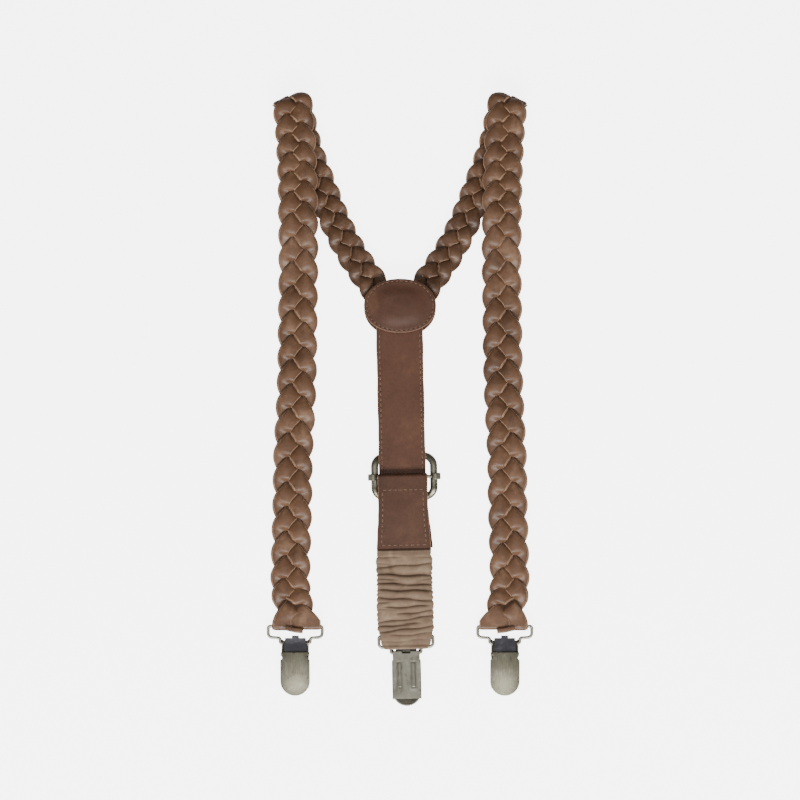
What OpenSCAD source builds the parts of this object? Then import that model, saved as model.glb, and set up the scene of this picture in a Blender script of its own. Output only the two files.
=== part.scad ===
/* [Braids] */
// Half width that the strand centres swing to in a front braid
braid_swing = 6.6; // [5.5:0.1:7.2]
// Half width of one folded leather strand
strand_half_w = 3.3; // [2.4:0.1:3.4]
// Thickness of one folded leather strand, both layers
strand_t = 1.15; // [0.8:0.05:1.2]
// How far a strand rises over and dives under its neighbours
strand_rise = 2.0; // [1.95:0.05:2.1]
// Length in which a strand crosses the front braid and comes back
front_period = 40.2; // [34:0.1:44]
// The same length in the tighter rear braids and over the shoulders
rear_period = 31.8; // [28:0.1:36]
// Width of the rear braids as a share of the front ones
rear_scale = 0.8; // [0.7:0.01:0.9]
// Radius of the fold over each shoulder, at the middle of the braid
fold_r = 3.5; // [3.4:0.1:4.5]

/* [Yoke and back strap] */
// Length of the oval front disc, side to side
yoke_w = 39.3; // [36:0.1:42]
// Height of the oval front disc, along the strap
yoke_h = 29.3; // [26:0.1:32]
// Width of the back strap
strap_w = 25; // [24:0.1:25.4]
// Thickness of each of the back strap's two leather layers
strap_layer_t = 0.75; // [0.6:0.05:0.8]
// Length of the back strap below the yoke's centre, to its hidden end
strap_l = 148.8; // [140:0.1:152]
// Lean of the back strap as it lies
back_lean = 1.2; // [0:0.1:2]

/* [Adjuster and elastic] */
// Wire thickness of the adjuster frame
frame_wire_d = 2.4; // [2:0.1:2.5]
// Outer width of the adjuster frame
frame_w = 35.2; // [34.8:0.1:36]
// Outer height of the adjuster frame
frame_h = 25; // [24:0.1:28]
// Distance of the adjuster below the yoke's centre
adjuster_y = 93.2; // [80:0.1:100]
// Width of the leather tab where it folds round the bar
tab_top_w = 25.8; // [24:0.1:26]
// Width of the leather tab where it holds the elastic
tab_low_w = 29.6; // [28:0.1:31]
// Length of the leather tab below the bar
tab_l = 39.4; // [34:0.1:44]
// Width of the gathered fabric sleeve
sleeve_w = 30.7; // [30:0.1:32]
// Length of the gathered fabric sleeve
sleeve_l = 45.6; // [40:0.1:48]

/* [Clips] */
// Outer width of the wire loop
loop_w = 31; // [30:0.1:31.5]
// Wire thickness of the loop
loop_wire_d = 1.5; // [1.3:0.1:1.6]
// Distance from the loop's top wire to the clip's pivot
loop_h = 9.2; // [8.8:0.1:10]
// Width of the clip's base plate
plate_w = 14.7; // [14.4:0.1:15]
// Length of the base plate below the pivot
plate_l = 24.6; // [23:0.1:25]
// Width of the domed lever
dome_w = 15.9; // [15.6:0.1:16.4]
// Reach of the domed lever's tip below the pivot
dome_l = 28.7; // [27.5:0.1:29.5]
// Distance of each front clip from the middle
clip_x = 57.2; // [50:0.1:62]

/* [Hidden] */
$fn = 48;

leather = "#7d5a44";
dark_leather = "#64452f";
fabric = "#96785c";
antique_brass = "#a09a80";
dark_steel = "#46413f";
pad_white = "#d8d4c8";

// Everything lies on the plane z = 0.
braid_z = 2.85;
fold_y = 160;
fold_z = braid_z + fold_r;
front_z = braid_z + 2 * fold_r;
gap = 0.15;
strap_z = frame_wire_d + gap;
strap_t = 2 * strap_layer_t;
tab_z = strap_z + strap_t + gap;
tab_t = 0.8;
bar_r = 0.9;
bar_z = tab_z + tab_t + gap / 2 + bar_r + 0.05;
core_t = 1.9;
sleeve_t = 5;
yoke_y = 50.8;
yoke_x = -0.6;

// Centre line of a left braid as [x, y, z, lean]: up from the yoke, over the shoulder, down to the clip.
rear_line = [
    [-9.6, 56.2, 3.9, 39], [-13.6, 61, 3.8, 38], [-26.3, 79.5, braid_z, 31], [-36, 98.4, braid_z, 25],
    [-44.4, 119.6, braid_z, 21.5], [-53.1, 140.4, braid_z, 18], [-58.4, fold_y, braid_z, 12],
];
front_line = [
    [-58.4, fold_y, front_z, 12], [-56.8, 142, front_z, 5], [-55.7, 118, front_z, 1],
    [-55.4, 96, front_z - 0.2, 0], [-55.4, 79, 6.1, -0.5],
    [-55.7, 60, braid_z, -0.8], [-56.5, 8.2, braid_z, -2],
    [-58.4, -30.5, braid_z, -1.5], [-58.9, -57.8, braid_z, -1], [-59.9, -98.8, braid_z, 0],
    [-58.8, -110, braid_z, 6], [-57.9, -116.4, braid_z, 7],
];
bend_steps = 12;
ring_step = 3;
bend_ring_step = 0.6;
near_bend = 8;

// A point on a smooth curve through the points p, at u points along it.
function curve(p, u) =
    let (
        last = len(p) - 1, i = min(floor(u), last - 1), t = u - i,
        a = p[max(i - 1, 0)], b = p[i], c = p[i + 1], d = p[min(i + 2, last)]
    )
    0.5 * (2 * b + (c - a) * t + (2 * a - 5 * b + 4 * c - d) * t * t + (3 * b - a - 3 * c + d) * t * t * t);

function plan(p) = [p[0], p[1], p[2]];

// Points about ring_step apart along the curve through p.
function stations(p) = [
    for (i = [0 : len(p) - 2])
        let (n = ceil(norm(plan(p[i + 1]) - plan(p[i])) / ring_step))
        for (j = [0 : n - 1]) curve(p, i + j / n),
    p[len(p) - 1],
];

fold_lean = 12;
fold_out = [-sin(fold_lean), cos(fold_lean), 0];
fold_centre = [rear_line[6][0], fold_y, fold_z];
fold_arc = [
    for (i = [1 : bend_steps - 1])
        let (
            turn = 180 * i / bend_steps,
            p = fold_centre + fold_r * (sin(turn) * fold_out - cos(turn) * [0, 0, 1])
        )
        [p[0], p[1], p[2], fold_lean],
];
rear_stations = stations(rear_line);
front_stations = stations(front_line);
braid_line = concat(rear_stations, fold_arc, front_stations);
fold_start = len(rear_stations) - 1;
fold_end = fold_start + bend_steps;
line_end = len(braid_line) - 1;

// Distance along the centre line to each of its points.
line_s = [
    for (i = 0, s = 0; i <= line_end;
        i = i + 1, s = i <= line_end ? s + norm(plan(braid_line[i]) - plan(braid_line[i - 1])) : s) s
];
fold_s = [line_s[fold_start], line_s[fold_end]];
s_end = line_s[line_end];

function table(k) = [for (i = [0 : line_end]) [line_s[i], braid_line[i][k]]];
line_x = table(0);
line_y = table(1);
line_z = table(2);
line_lean = table(3);

// Centre line at distance s, carried on straight past its two ends.
function line_at(s) =
    let (
        in = max(0, min(s, s_end)),
        p = [lookup(in, line_x), lookup(in, line_y), lookup(in, line_z)],
        out = s - in,
        k = out < 0 ? 1 : line_end,
        q = plan(out < 0 ? braid_line[0] - braid_line[1] : braid_line[k] - braid_line[k - 1])
    )
    p + abs(out) * q / norm(q);

// 0 on the rear braids, 1 on the front ones, with an even change in between.
function ramp(s, from, to) =
    let (t = max(0, min(1, (s - from) / (to - from))))
    t * t * (3 - 2 * t);
function width_scale(s) = rear_scale + (1 - rear_scale) * ramp(s, fold_s[0] - 45, fold_s[0]);
function rise_scale(s) = 0.85 + 0.15 * ramp(s, 0, 25);

// A strand's phase in degrees at each point of the line; the period grows down the front.
function period(s) = rear_period + (front_period - rear_period) * ramp(s, fold_s[1] + 35, fold_s[1] + 75);
phase_step = 2;
phase_table = [
    for (s = 0, t = 0; s <= s_end + phase_step;
        t = t + 360 * phase_step / period(s + phase_step / 2), s = s + phase_step) [s, t]
];
end_phase = 135;
phase_shift = end_phase - lookup(s_end, phase_table);
function phase(s) = lookup(s, phase_table) + phase_shift;

function unit(v) = v / norm(v);

// A point of a braid at s along it, u to the side and z towards its outer face.
function on_braid(s, u, z) =
    let (
        p = line_at(s), d = unit(line_at(s + 0.4) - line_at(s - 0.4)), lean = lookup(s, line_lean),
        l = [-cos(lean), -sin(lean), 0], side = unit(l - (l * d) * d), out = cross(side, d)
    )
    p + u * side + z * out;

// Half of a strand's cross-section as [share of the half width, share of the half thickness].
strand_section = [[-1, 0], [-0.72, 1], [0.72, 1], [1, 0], [0.72, -1], [-0.72, -1]];

function strand_ring(s, k) =
    let (
        t = phase(s) + 120 * k, a = braid_swing * width_scale(s), h = strand_half_w * width_scale(s),
        lead = a * cos(t) * 2 * PI / period(s), long = norm([lead, 1]), nu = 1 / long, ns = -lead / long,
        z = strand_rise * rise_scale(s) * sin(2 * t)
    )
    [
        for (c = strand_section)
            on_braid(s + c[0] * h * ns, a * sin(t) + c[0] * h * nu, z + c[1] * strand_t / 2)
    ];

function even(from, to, step) =
    let (n = ceil((to - from) / step))
    [for (i = [0 : n]) from + (to - from) * i / n];

// A closed skin over rings of equal length; the ends are capped unless the rings join up.
module skin(rings, joined = false) {
    m = len(rings[0]);
    n = len(rings);
    spans = joined ? n : n - 1;
    walls = [
        for (i = [0 : spans - 1]) for (j = [0 : m - 1])
            let (
                next = ((i + 1) % n) * m,
                a = i * m + j,
                b = i * m + (j + 1) % m,
                c = next + (j + 1) % m,
                d = next + j
            )
            for (f = [[a, b, c], [a, c, d]]) f
    ];
    caps = joined ? [] : [
        for (j = [1 : m - 2]) for (f = [[0, j + 1, j], [(n - 1) * m, (n - 1) * m + j, (n - 1) * m + j + 1]]) f
    ];
    polyhedron(points = [for (r = rings) for (p = r) p], faces = concat(walls, caps));
}

// Round wire along points that lie in a plane square to z, or nearly.
function wire_rings(points, r, sides, joined) =
    let (n = len(points))
    [
        for (i = [0 : n - 1])
            let (
                back = joined ? points[(i + n - 1) % n] : points[max(i - 1, 0)],
                next = joined ? points[(i + 1) % n] : points[min(i + 1, n - 1)],
                d = unit(next - back), side = unit(cross(d, [0, 0, 1])), up = cross(side, d)
            )
            [
                for (j = [0 : sides - 1]) let (turn = 360 * j / sides)
                    points[i] + r * (cos(turn) * side + sin(turn) * up)
            ]
    ];

// Points of an arc from angle a0 to a1 round a centre.
function arc(centre, r, a0, a1, steps) = [
    for (i = [0 : steps]) centre + r * [cos(a0 + (a1 - a0) * i / steps), sin(a0 + (a1 - a0) * i / steps), 0]
];

module mirrored(side) {
    if (side > 0) mirror([1, 0, 0]) children();
    else children();
}

module strand(places, k) {
    skin([for (s = places) strand_ring(s, k)]);
}

// Strands are cut this far short of the bend; their rings are closer together beside it.
cut = 0.08;
front_places = concat(
    even(fold_s[1] + cut, fold_s[1] + near_bend, bend_ring_step),
    even(fold_s[1] + near_bend + ring_step, s_end, ring_step)
);
rear_places = concat(
    even(0, fold_s[0] - near_bend - ring_step, ring_step),
    even(fold_s[0] - near_bend, fold_s[0] - cut, bend_ring_step)
);
module front_strand(side, k) {
    color(leather) mirrored(side) strand(front_places, k);
}
module rear_strand(side, k) {
    color(leather) mirrored(side) strand(rear_places, k);
}
module shoulder_bend(side) {
    color(leather) mirrored(side)
        for (k = [1 : 3]) strand(even(fold_s[0], fold_s[1], bend_ring_step), k);
}

// The three strand ends, turned back round the wire of a front clip's loop.
clip_y = -133.2;
loop_axis_y = clip_y + loop_h;
clip_z = 3;
loop_bore_r = loop_wire_d / 2 + 0.12;
end_loop_r = 2.4;
end_loop_w = 8.4;
end_loop_pitch = 8.9;
module folded_loop(width, r, back, bore_r) {
    translate([-width / 2, 0, 0]) rotate([90, 0, 90]) linear_extrude(width) difference() {
        union() {
            circle(r);
            translate([0, -r]) square([back, 2 * r]);
        }
        circle(bore_r);
    }
}
module end_loops(side) {
    color(leather)
        for (i = [-1 : 1])
            translate([side * clip_x + i * end_loop_pitch, loop_axis_y, clip_z])
                folded_loop(end_loop_w, end_loop_r, 4.6, loop_bore_r);
}

// Yoke: two leather discs with the braid ends and the strap end between them.
function oval(rx, ry, n = 48) = [for (i = [0 : n - 1]) [rx * cos(360 * i / n), ry * sin(360 * i / n)]];
module yoke_rear_disc() {
    color(dark_leather) translate([0, yoke_y - 1.1, 0])
        linear_extrude(1.4) polygon(oval(yoke_w / 2, (yoke_h + 1.7) / 2));
}
filler_z = 6.35;
filler_t = 1.1;
module yoke_filler() {
    color(dark_leather) translate([0, yoke_y, filler_z])
        linear_extrude(filler_t) polygon(oval(12, 8));
}
// Crowned disc: rings of [share of the radius, height].
crown = [[0.97, 0], [1, 0.5], [0.97, 1.2], [0.82, 1.6], [0.6, 2.3], [0.3, 2.7], [0.05, 2.8]];
module yoke_front_disc() {
    color(dark_leather) translate([0, yoke_y, filler_z + filler_t + 0.05])
        skin([for (c = crown) [for (p = oval(yoke_w / 2, yoke_h / 2, 32)) [p[0] * c[0], p[1] * c[0], c[1]]]]);
}

// Frame of the back strap and all that hangs on it: y runs up the strap from the yoke's centre.
module on_back() {
    translate([yoke_x, yoke_y, 0]) rotate(back_lean) children();
}
strap_top = 6;
module strap_layer(z) {
    color(dark_leather) on_back()
        translate([-strap_w / 2, -strap_l, z]) cube([strap_w, strap_l - strap_top, strap_layer_t]);
}
module back_strap_rear_layer() {
    strap_layer(strap_z);
}
module back_strap_front_layer() {
    strap_layer(strap_z + strap_layer_t);
}

// Adjuster frame: a rounded wire ring whose sides arch up over the edges of the strap.
frame_rise = 2.2;
frame_corner = 5.5;
frame_rx = (frame_w - frame_wire_d) / 2;
frame_ry = (frame_h - frame_wire_d) / 2;
function frame_height(y) = frame_wire_d / 2 + frame_rise * max(0, 1 - pow(abs(y) / (frame_ry - 0.4), 4));
function frame_outline() = [
    for (q = [0 : 3])
        let (sx = q == 0 || q == 3 ? 1 : -1, sy = q < 2 ? 1 : -1)
        each concat(
            arc(
                [sx * (frame_rx - frame_corner), sy * (frame_ry - frame_corner), 0],
                frame_corner, 90 * q, 90 * q + 90, 6
            ),
            q % 2 == 0
                ? [for (x = [0.5, -0.5]) [sx * x * (frame_rx - frame_corner), sy * frame_ry, 0]]
                : [for (y = [0.6, 0.2, -0.2, -0.6]) [sx * frame_rx, sy * y * (frame_ry - frame_corner), 0]]
        )
];
module adjuster_frame() {
    color(antique_brass) on_back() translate([0, -adjuster_y, 0])
        skin(
            wire_rings(
                [for (p = frame_outline()) [p[0], p[1], frame_height(p[1])]],
                frame_wire_d / 2, 10, true
            ),
            joined = true
        );
}

// Sliding bar with an eye at each end that runs on the frame's sides.
eye_r = 2.45;
eye_bore_r = frame_wire_d / 2 + 0.25;
eye_l = 3.5;
module adjuster_bar() {
    eye_z = frame_wire_d / 2 + frame_rise;
    color(antique_brass) on_back() translate([0, -adjuster_y, 0]) difference() {
        union() {
            translate([-frame_rx, 0, bar_z]) rotate([0, 90, 0]) cylinder(r = bar_r, h = 2 * frame_rx);
            for (s = [-1, 1])
                translate([s * frame_rx, eye_l / 2, eye_z]) rotate([90, 0, 0]) cylinder(r = eye_r, h = eye_l);
        }
        for (s = [-1, 1])
            translate([s * frame_rx, eye_l, eye_z]) rotate([90, 0, 0])
                cylinder(r = eye_bore_r, h = 2 * eye_l);
    }
}

// Leather tab folded round the bar.
tab_bore_r = bar_z - tab_z - tab_t;
tab_outer_r = bar_z - tab_z;
module adjuster_tab() {
    color(dark_leather) on_back() translate([0, -adjuster_y, bar_z]) intersection() {
        translate([-20, 0, 0]) rotate([90, 0, 90]) linear_extrude(40) difference() {
            union() {
                circle(tab_outer_r);
                translate([-tab_l, -tab_outer_r]) square([tab_l, 2 * tab_outer_r]);
            }
            circle(tab_bore_r);
            translate([-tab_l - 1, -tab_bore_r]) square([tab_l + 1, 2 * tab_bore_r]);
        }
        translate([0, 0, -10]) linear_extrude(20) polygon([
            [-tab_top_w / 2, 5], [tab_top_w / 2, 5], [tab_top_w / 2, -8],
            [tab_low_w / 2, -tab_l - 1], [-tab_low_w / 2, -tab_l - 1], [-tab_top_w / 2, -8],
        ]);
    }
}

// Elastic webbing inside a gathered sleeve, from inside the tab down to the rear clip.
core_w = 25;
core_top = 10;
sleeve_y = -adjuster_y - tab_l - 0.1;
sleeve_end = sleeve_y - sleeve_l;
module elastic_core() {
    color(pad_white) on_back()
        translate([-core_w / 2, sleeve_end, bar_z - core_t / 2])
            cube([core_w, sleeve_l + tab_l - core_top, core_t]);
}
module rounded_box(w, h, r) {
    union() {
        translate([-w / 2 + r, 0]) square([w - 2 * r, h]);
        translate([-w / 2, r]) square([w, h - 2 * r]);
        for (x = [-1, 1]) for (y = [r, h - r])
            translate([x * (w / 2 - r), y]) circle(r);
    }
}
module gathered_sleeve() {
    color(fabric) on_back() translate([0, sleeve_y, tab_z]) rotate([90, 0, 0])
        linear_extrude(sleeve_l) difference() {
            rounded_box(sleeve_w, sleeve_t, 2.2);
            translate([-core_w / 2 - 0.7, bar_z - core_t / 2 - 0.1 - tab_z])
                square([core_w + 1.4, core_t + 0.2]);
        }
}
rear_axis_y = sleeve_end - 1.6;
rear_clip_z = 5.8;
module elastic_end_fold() {
    color(fabric) on_back() translate([0, rear_axis_y, rear_clip_z])
        folded_loop(26.4, 1.6, 1.5, loop_bore_r);
}

// Clip, with its pivot at the origin, its dome towards +z and its grip towards -y.
plate_t = 0.9;
plate_z = -clip_z;
ear_t = 0.6;
ear_r = 1.9;
stub_r = loop_wire_d / 2;
pin_y = -5.9;
pin_z = 1.6;
pin_r = 0.65;
jaw_t = 0.7;
pad_t = 1;
module wire_loop() {
    r = loop_wire_d / 2;
    x_out = loop_w / 2 - r;
    foot = plate_w / 2 + 0.1 + r;
    half = concat(
        [[plate_w / 2 - ear_t - 0.3, 0, 0]],
        arc([foot - 0.95, 0.95, 0], 0.95, -90, 0, 3),
        arc([foot + 1.1, 1.7, 0], 1.1, 180, 95, 4),
        [[11.5, 3, 0]],
        arc([x_out - 2.3, 5.4, 0], 2.3, -80, 0, 5),
        [[x_out, loop_h - 1.3, 0]],
        arc([x_out - 1.1, loop_h - 1.1, 0], 1.1, 20, 90, 3),
        [[8, loop_h, 0], [2.7, loop_h, 0]]
    );
    other = [for (i = [len(half) - 1 : -1 : 0]) [-half[i][0], half[i][1], 0]];
    color(antique_brass) skin(wire_rings(concat(half, other), r, 8, false));
}
pin_ear_r = 1.2;
module ear_shape() {
    foot = plate_z + plate_t - 0.3;
    circle(ear_r);
    translate([pin_y, pin_z]) circle(pin_ear_r);
    polygon([
        [pin_y - pin_ear_r, pin_z - 0.6], [pin_y - 2.2, foot], [1, foot], [ear_r * 0.9, -0.8],
        [-1, ear_r * 0.8], [pin_y + 0.5, pin_z + 1.4],
    ]);
}
module base_plate() {
    groove = [2.5, 14, 0.4];
    groove_x = 3.8;
    groove_y = -18.6;
    color(antique_brass) difference() {
        union() {
            translate([-plate_w / 2, -plate_l, plate_z]) cube([plate_w, plate_l + 1.1, plate_t]);
            translate([-plate_w / 2, -plate_l, plate_z]) cube([plate_w, 0.6, plate_t + pad_t * 0.6]);
            for (x = [-plate_w / 2, plate_w / 2 - ear_t])
                translate([x, 0, 0]) rotate([90, 0, 90]) linear_extrude(ear_t) ear_shape();
        }
        translate([-2.35, -0.7, plate_z - 1]) cube([4.7, 3, plate_t + 2]);
        for (x = [-1, 1])
            translate([x * groove_x - groove[0] / 2, groove_y, plate_z - 0.01])
                cube([groove[0], groove[1], groove[2] + 0.01]);
        translate([-10, 0, 0]) rotate([0, 90, 0]) cylinder(r = stub_r + 0.1, h = 20);
        translate([-10, pin_y, pin_z]) rotate([0, 90, 0]) cylinder(r = pin_r + 0.02, h = 20);
    }
}
module base_pad() {
    color(pad_white) translate([-6, -plate_l + 0.7, plate_z + plate_t]) cube([12, 7, pad_t]);
}
jaw_bend = [-6, -plate_l + 8.5];
jaw_tip = -plate_l + 0.9;
module jaw() {
    low = plate_z + plate_t + 0.15;
    high = plate_z + plate_t + 2 * pad_t + 0.1;
    half = [
        [1.95, 4], [1.95, 2.6], [5.6, 2.6], [6.5, -4.4],
        [5.6, -4.4], [5.6, -8.2], [6.3, -8.2], [6.3, -30],
    ];
    color(dark_steel) intersection() {
        translate([-10, 0, 0]) rotate([90, 0, 90]) linear_extrude(20) polygon([
            [3.9, low], [3.9, low + jaw_t], [jaw_bend[0], low + jaw_t + 0.4], [jaw_bend[1], high + jaw_t],
            [jaw_tip, high + jaw_t], [jaw_tip, high], [jaw_bend[1], high], [jaw_bend[0], low + 0.4],
        ]);
        translate([0, 0, -10]) linear_extrude(20)
            polygon(concat(half, [for (i = [7 : -1 : 0]) [-half[i][0], half[i][1]]]));
    }
}
module jaw_pad() {
    color(pad_white) translate([-6, jaw_tip, plate_z + plate_t + pad_t + 0.1]) cube([12, 6.8, pad_t]);
}

// The dome is part of a barrel: long_r is its profile's radius and cross_r its cross-section's.
dome_top = 5.3;
dome_top_y = -11;
dome_tip_drop = 4.7;
long_r = (pow(dome_l + dome_top_y, 2) + pow(dome_tip_drop, 2)) / (2 * dome_tip_drop);
cross_r = 22;
dome_wall = 0.7;
module dome_outline(inset) {
    w = dome_w / 2 - inset;
    difference() {
        union() {
            translate([0, -dome_l + dome_w / 2]) circle(w);
            translate([-w, -dome_l + dome_w / 2]) square([2 * w, dome_l - dome_w / 2 - 4.7]);
        }
        for (s = [-1, 1]) translate([s * 8.5, -7.2]) {
            circle(1.85 + inset);
            translate([-1.85 - inset, 0]) square([3.7, 4]);
        }
    }
}
module dome_solid(inset) {
    intersection() {
        translate([0, 0, -6]) linear_extrude(14) dome_outline(inset);
        translate([0, dome_top_y, dome_top - long_r]) rotate([0, 90, 0])
            rotate_extrude($fn = 96) intersection() {
                translate([long_r - cross_r, 0]) circle(r = cross_r - inset, $fn = 96);
                translate([20, -10]) square([30, 20]);
            }
    }
}
lug_r = 1.35;
lug_t = 0.7;
lug_x = plate_w / 2 - ear_t - 0.15 - lug_t;
module lever() {
    color(antique_brass) difference() {
        union() {
            difference() {
                dome_solid(0);
                difference() {
                    dome_solid(dome_wall);
                    translate([-10, -4.7 - dome_wall, -10]) cube([20, 10, 20]);
                }
                translate([0, -4.7, 1.7]) rotate([7.6, 0, 0]) translate([-20, -40, -20]) cube([40, 60, 20]);
            }
            intersection() {
                for (x = [-lug_x - lug_t, lug_x])
                    translate([x, 0, 0]) rotate([90, 0, 90]) linear_extrude(lug_t) {
                        translate([pin_y, pin_z]) circle(lug_r);
                        translate([pin_y - lug_r, pin_z]) square([2 * lug_r, 5]);
                    }
                union() {
                    dome_solid(0.3);
                    translate([-10, -20, -10]) cube([20, 20, 10 + pin_z + 1]);
                }
            }
            translate([-3, pin_y, pin_z]) rotate([0, 90, 0]) linear_extrude(6) {
                circle(1.25);
                translate([0.8, 0]) circle(0.8);
                translate([0, -0.8]) square([1.4, 1.6]);
                translate([1.4, 0]) circle(0.8);
            }
        }
        translate([-10, pin_y, pin_z]) rotate([0, 90, 0]) cylinder(r = pin_r + 0.07, h = 20);
    }
}
module lever_pin() {
    color(antique_brass) translate([-plate_w / 2 - 0.4, pin_y, pin_z]) rotate([0, 90, 0]) union() {
        cylinder(r = pin_r, h = plate_w + 0.8);
        cylinder(r = 1.1, h = 0.35);
        translate([0, 0, plate_w + 0.45]) cylinder(r = 1.1, h = 0.35);
    }
}

module at_front(side) {
    translate([side * clip_x, clip_y, clip_z]) children();
}
module at_rear() {
    on_back() translate([0, rear_axis_y - loop_h, rear_clip_z]) rotate([0, 180, 0]) children();
}

front_strand(-1, 1);  // left_front_strand_1
front_strand(-1, 2);  // left_front_strand_2
front_strand(-1, 3);  // left_front_strand_3
front_strand(1, 1);  // right_front_strand_1
front_strand(1, 2);  // right_front_strand_2
front_strand(1, 3);  // right_front_strand_3
rear_strand(-1, 1);  // left_rear_strand_1
rear_strand(-1, 2);  // left_rear_strand_2
rear_strand(-1, 3);  // left_rear_strand_3
rear_strand(1, 1);  // right_rear_strand_1
rear_strand(1, 2);  // right_rear_strand_2
rear_strand(1, 3);  // right_rear_strand_3
shoulder_bend(-1);  // left_shoulder_bend
shoulder_bend(1);  // right_shoulder_bend
end_loops(-1);  // left_end_loops
end_loops(1);  // right_end_loops
yoke_rear_disc();
yoke_filler();
yoke_front_disc();
back_strap_rear_layer();
back_strap_front_layer();
adjuster_frame();
adjuster_bar();
adjuster_tab();
elastic_core();
gathered_sleeve();
elastic_end_fold();
at_front(-1) wire_loop();  // left_wire_loop
at_front(-1) base_plate();  // left_base_plate
at_front(-1) base_pad();  // left_base_pad
at_front(-1) jaw();  // left_jaw
at_front(-1) jaw_pad();  // left_jaw_pad
at_front(-1) lever();  // left_lever
at_front(-1) lever_pin();  // left_lever_pin
at_front(1) wire_loop();  // right_wire_loop
at_front(1) base_plate();  // right_base_plate
at_front(1) base_pad();  // right_base_pad
at_front(1) jaw();  // right_jaw
at_front(1) jaw_pad();  // right_jaw_pad
at_front(1) lever();  // right_lever
at_front(1) lever_pin();  // right_lever_pin
at_rear() wire_loop();  // rear_wire_loop
at_rear() base_plate();  // rear_base_plate
at_rear() base_pad();  // rear_base_pad
at_rear() jaw();  // rear_jaw
at_rear() jaw_pad();  // rear_jaw_pad
at_rear() lever();  // rear_lever
at_rear() lever_pin();  // rear_lever_pin
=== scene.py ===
import math

import bpy
import numpy as np
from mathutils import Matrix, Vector


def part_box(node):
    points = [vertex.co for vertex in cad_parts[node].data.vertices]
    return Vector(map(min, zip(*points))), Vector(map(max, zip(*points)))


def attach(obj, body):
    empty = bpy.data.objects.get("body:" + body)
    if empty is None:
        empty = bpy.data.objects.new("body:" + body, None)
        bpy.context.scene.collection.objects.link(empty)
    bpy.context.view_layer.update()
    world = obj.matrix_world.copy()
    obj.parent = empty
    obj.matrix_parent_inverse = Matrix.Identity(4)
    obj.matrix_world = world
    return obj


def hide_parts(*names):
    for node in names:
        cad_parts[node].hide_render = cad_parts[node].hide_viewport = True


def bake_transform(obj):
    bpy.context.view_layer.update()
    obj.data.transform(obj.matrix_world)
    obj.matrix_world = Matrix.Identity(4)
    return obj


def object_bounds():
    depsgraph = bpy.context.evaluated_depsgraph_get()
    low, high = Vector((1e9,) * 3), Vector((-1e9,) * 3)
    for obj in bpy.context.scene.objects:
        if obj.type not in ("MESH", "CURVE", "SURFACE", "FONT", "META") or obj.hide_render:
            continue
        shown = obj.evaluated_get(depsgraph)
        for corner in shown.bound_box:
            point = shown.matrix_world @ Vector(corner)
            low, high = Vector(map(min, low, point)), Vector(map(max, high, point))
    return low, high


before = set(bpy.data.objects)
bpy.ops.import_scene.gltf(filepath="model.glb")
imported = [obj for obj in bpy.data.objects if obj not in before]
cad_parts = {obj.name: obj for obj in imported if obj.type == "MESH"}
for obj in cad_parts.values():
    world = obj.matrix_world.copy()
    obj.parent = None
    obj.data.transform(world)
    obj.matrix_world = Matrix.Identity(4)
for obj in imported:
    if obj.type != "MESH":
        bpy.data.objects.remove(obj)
cad_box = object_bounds()

MM = 0.001
SIDES = {"left": 1, "right": -1}


# ---------------------------------------------------------------- camera, floor and light
def add_object(name, data):
    holder = bpy.data.objects.new(name, data)
    bpy.context.collection.objects.link(holder)
    return holder


def add_light(name, place, size, power):
    """A soft rectangular light aimed at the middle of the table."""
    lamp = bpy.data.lights.new(name, "AREA")
    lamp.shape = "RECTANGLE"
    lamp.size, lamp.size_y = size
    lamp.energy = power
    holder = add_object(name, lamp)
    holder.location = place
    holder.rotation_euler = (Vector() - Vector(place)).to_track_quat("-Z", "Y").to_euler()


def set_stage():
    camera_data = bpy.data.cameras.new("camera")
    camera = add_object("camera", camera_data)
    camera_data.lens = 100
    camera_data.sensor_width = 36
    camera_data.clip_start = 0.01
    view_width, view_height, nudge = 0.4368, 0.003, -0.0005
    distance = view_width * camera_data.lens / camera_data.sensor_width
    camera.location = (0, nudge, distance + view_height)
    bpy.context.scene.camera = camera

    floor_mesh = bpy.data.meshes.new("floor")
    reach, gap = 6.0, 0.0002
    corners = [(-reach, -reach, 0), (reach, -reach, 0), (reach, reach, 0), (-reach, reach, 0)]
    floor_mesh.from_pydata(corners, [], [(0, 1, 2, 3)])
    floor = add_object("floor", floor_mesh)
    floor.location.z = cad_box[0][2] - gap
    paper = bpy.data.materials.new("paper")
    paper.use_nodes = True
    shader = paper.node_tree.nodes["Principled BSDF"].inputs
    shader["Base Color"].default_value = (0.93, 0.93, 0.93, 1)
    shader["Roughness"].default_value = 0.9
    shader["Emission Color"].default_value = (1, 1, 1, 1)
    shader["Emission Strength"].default_value = 5.2
    floor_mesh.materials.append(paper)
    # The floor glows as a light table does, and only lights itself.
    lit_by_floor = bpy.data.collections.new("lit_by_floor")
    floor.light_linking.receiver_collection = lit_by_floor
    lit_by_floor.objects.link(floor)

    world = bpy.context.scene.world or bpy.data.worlds.new("world")
    bpy.context.scene.world = world
    world.use_nodes = True
    sky = world.node_tree.nodes["Background"].inputs
    sky["Color"].default_value = (1, 1, 1, 1)
    sky["Strength"].default_value = 0.12
    add_light("key", (0.0, -1.25, 1.1), (1.4, 0.5), 32)
    add_light("overhead", (0.0, 0.15, 1.8), (1.3, 1.1), 6)
    add_light("left_fill", (-1.3, -0.3, 0.6), (0.3, 1.2), 1.5)
    add_light("right_fill", (1.3, -0.3, 0.6), (0.3, 1.2), 1.5)


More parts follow.
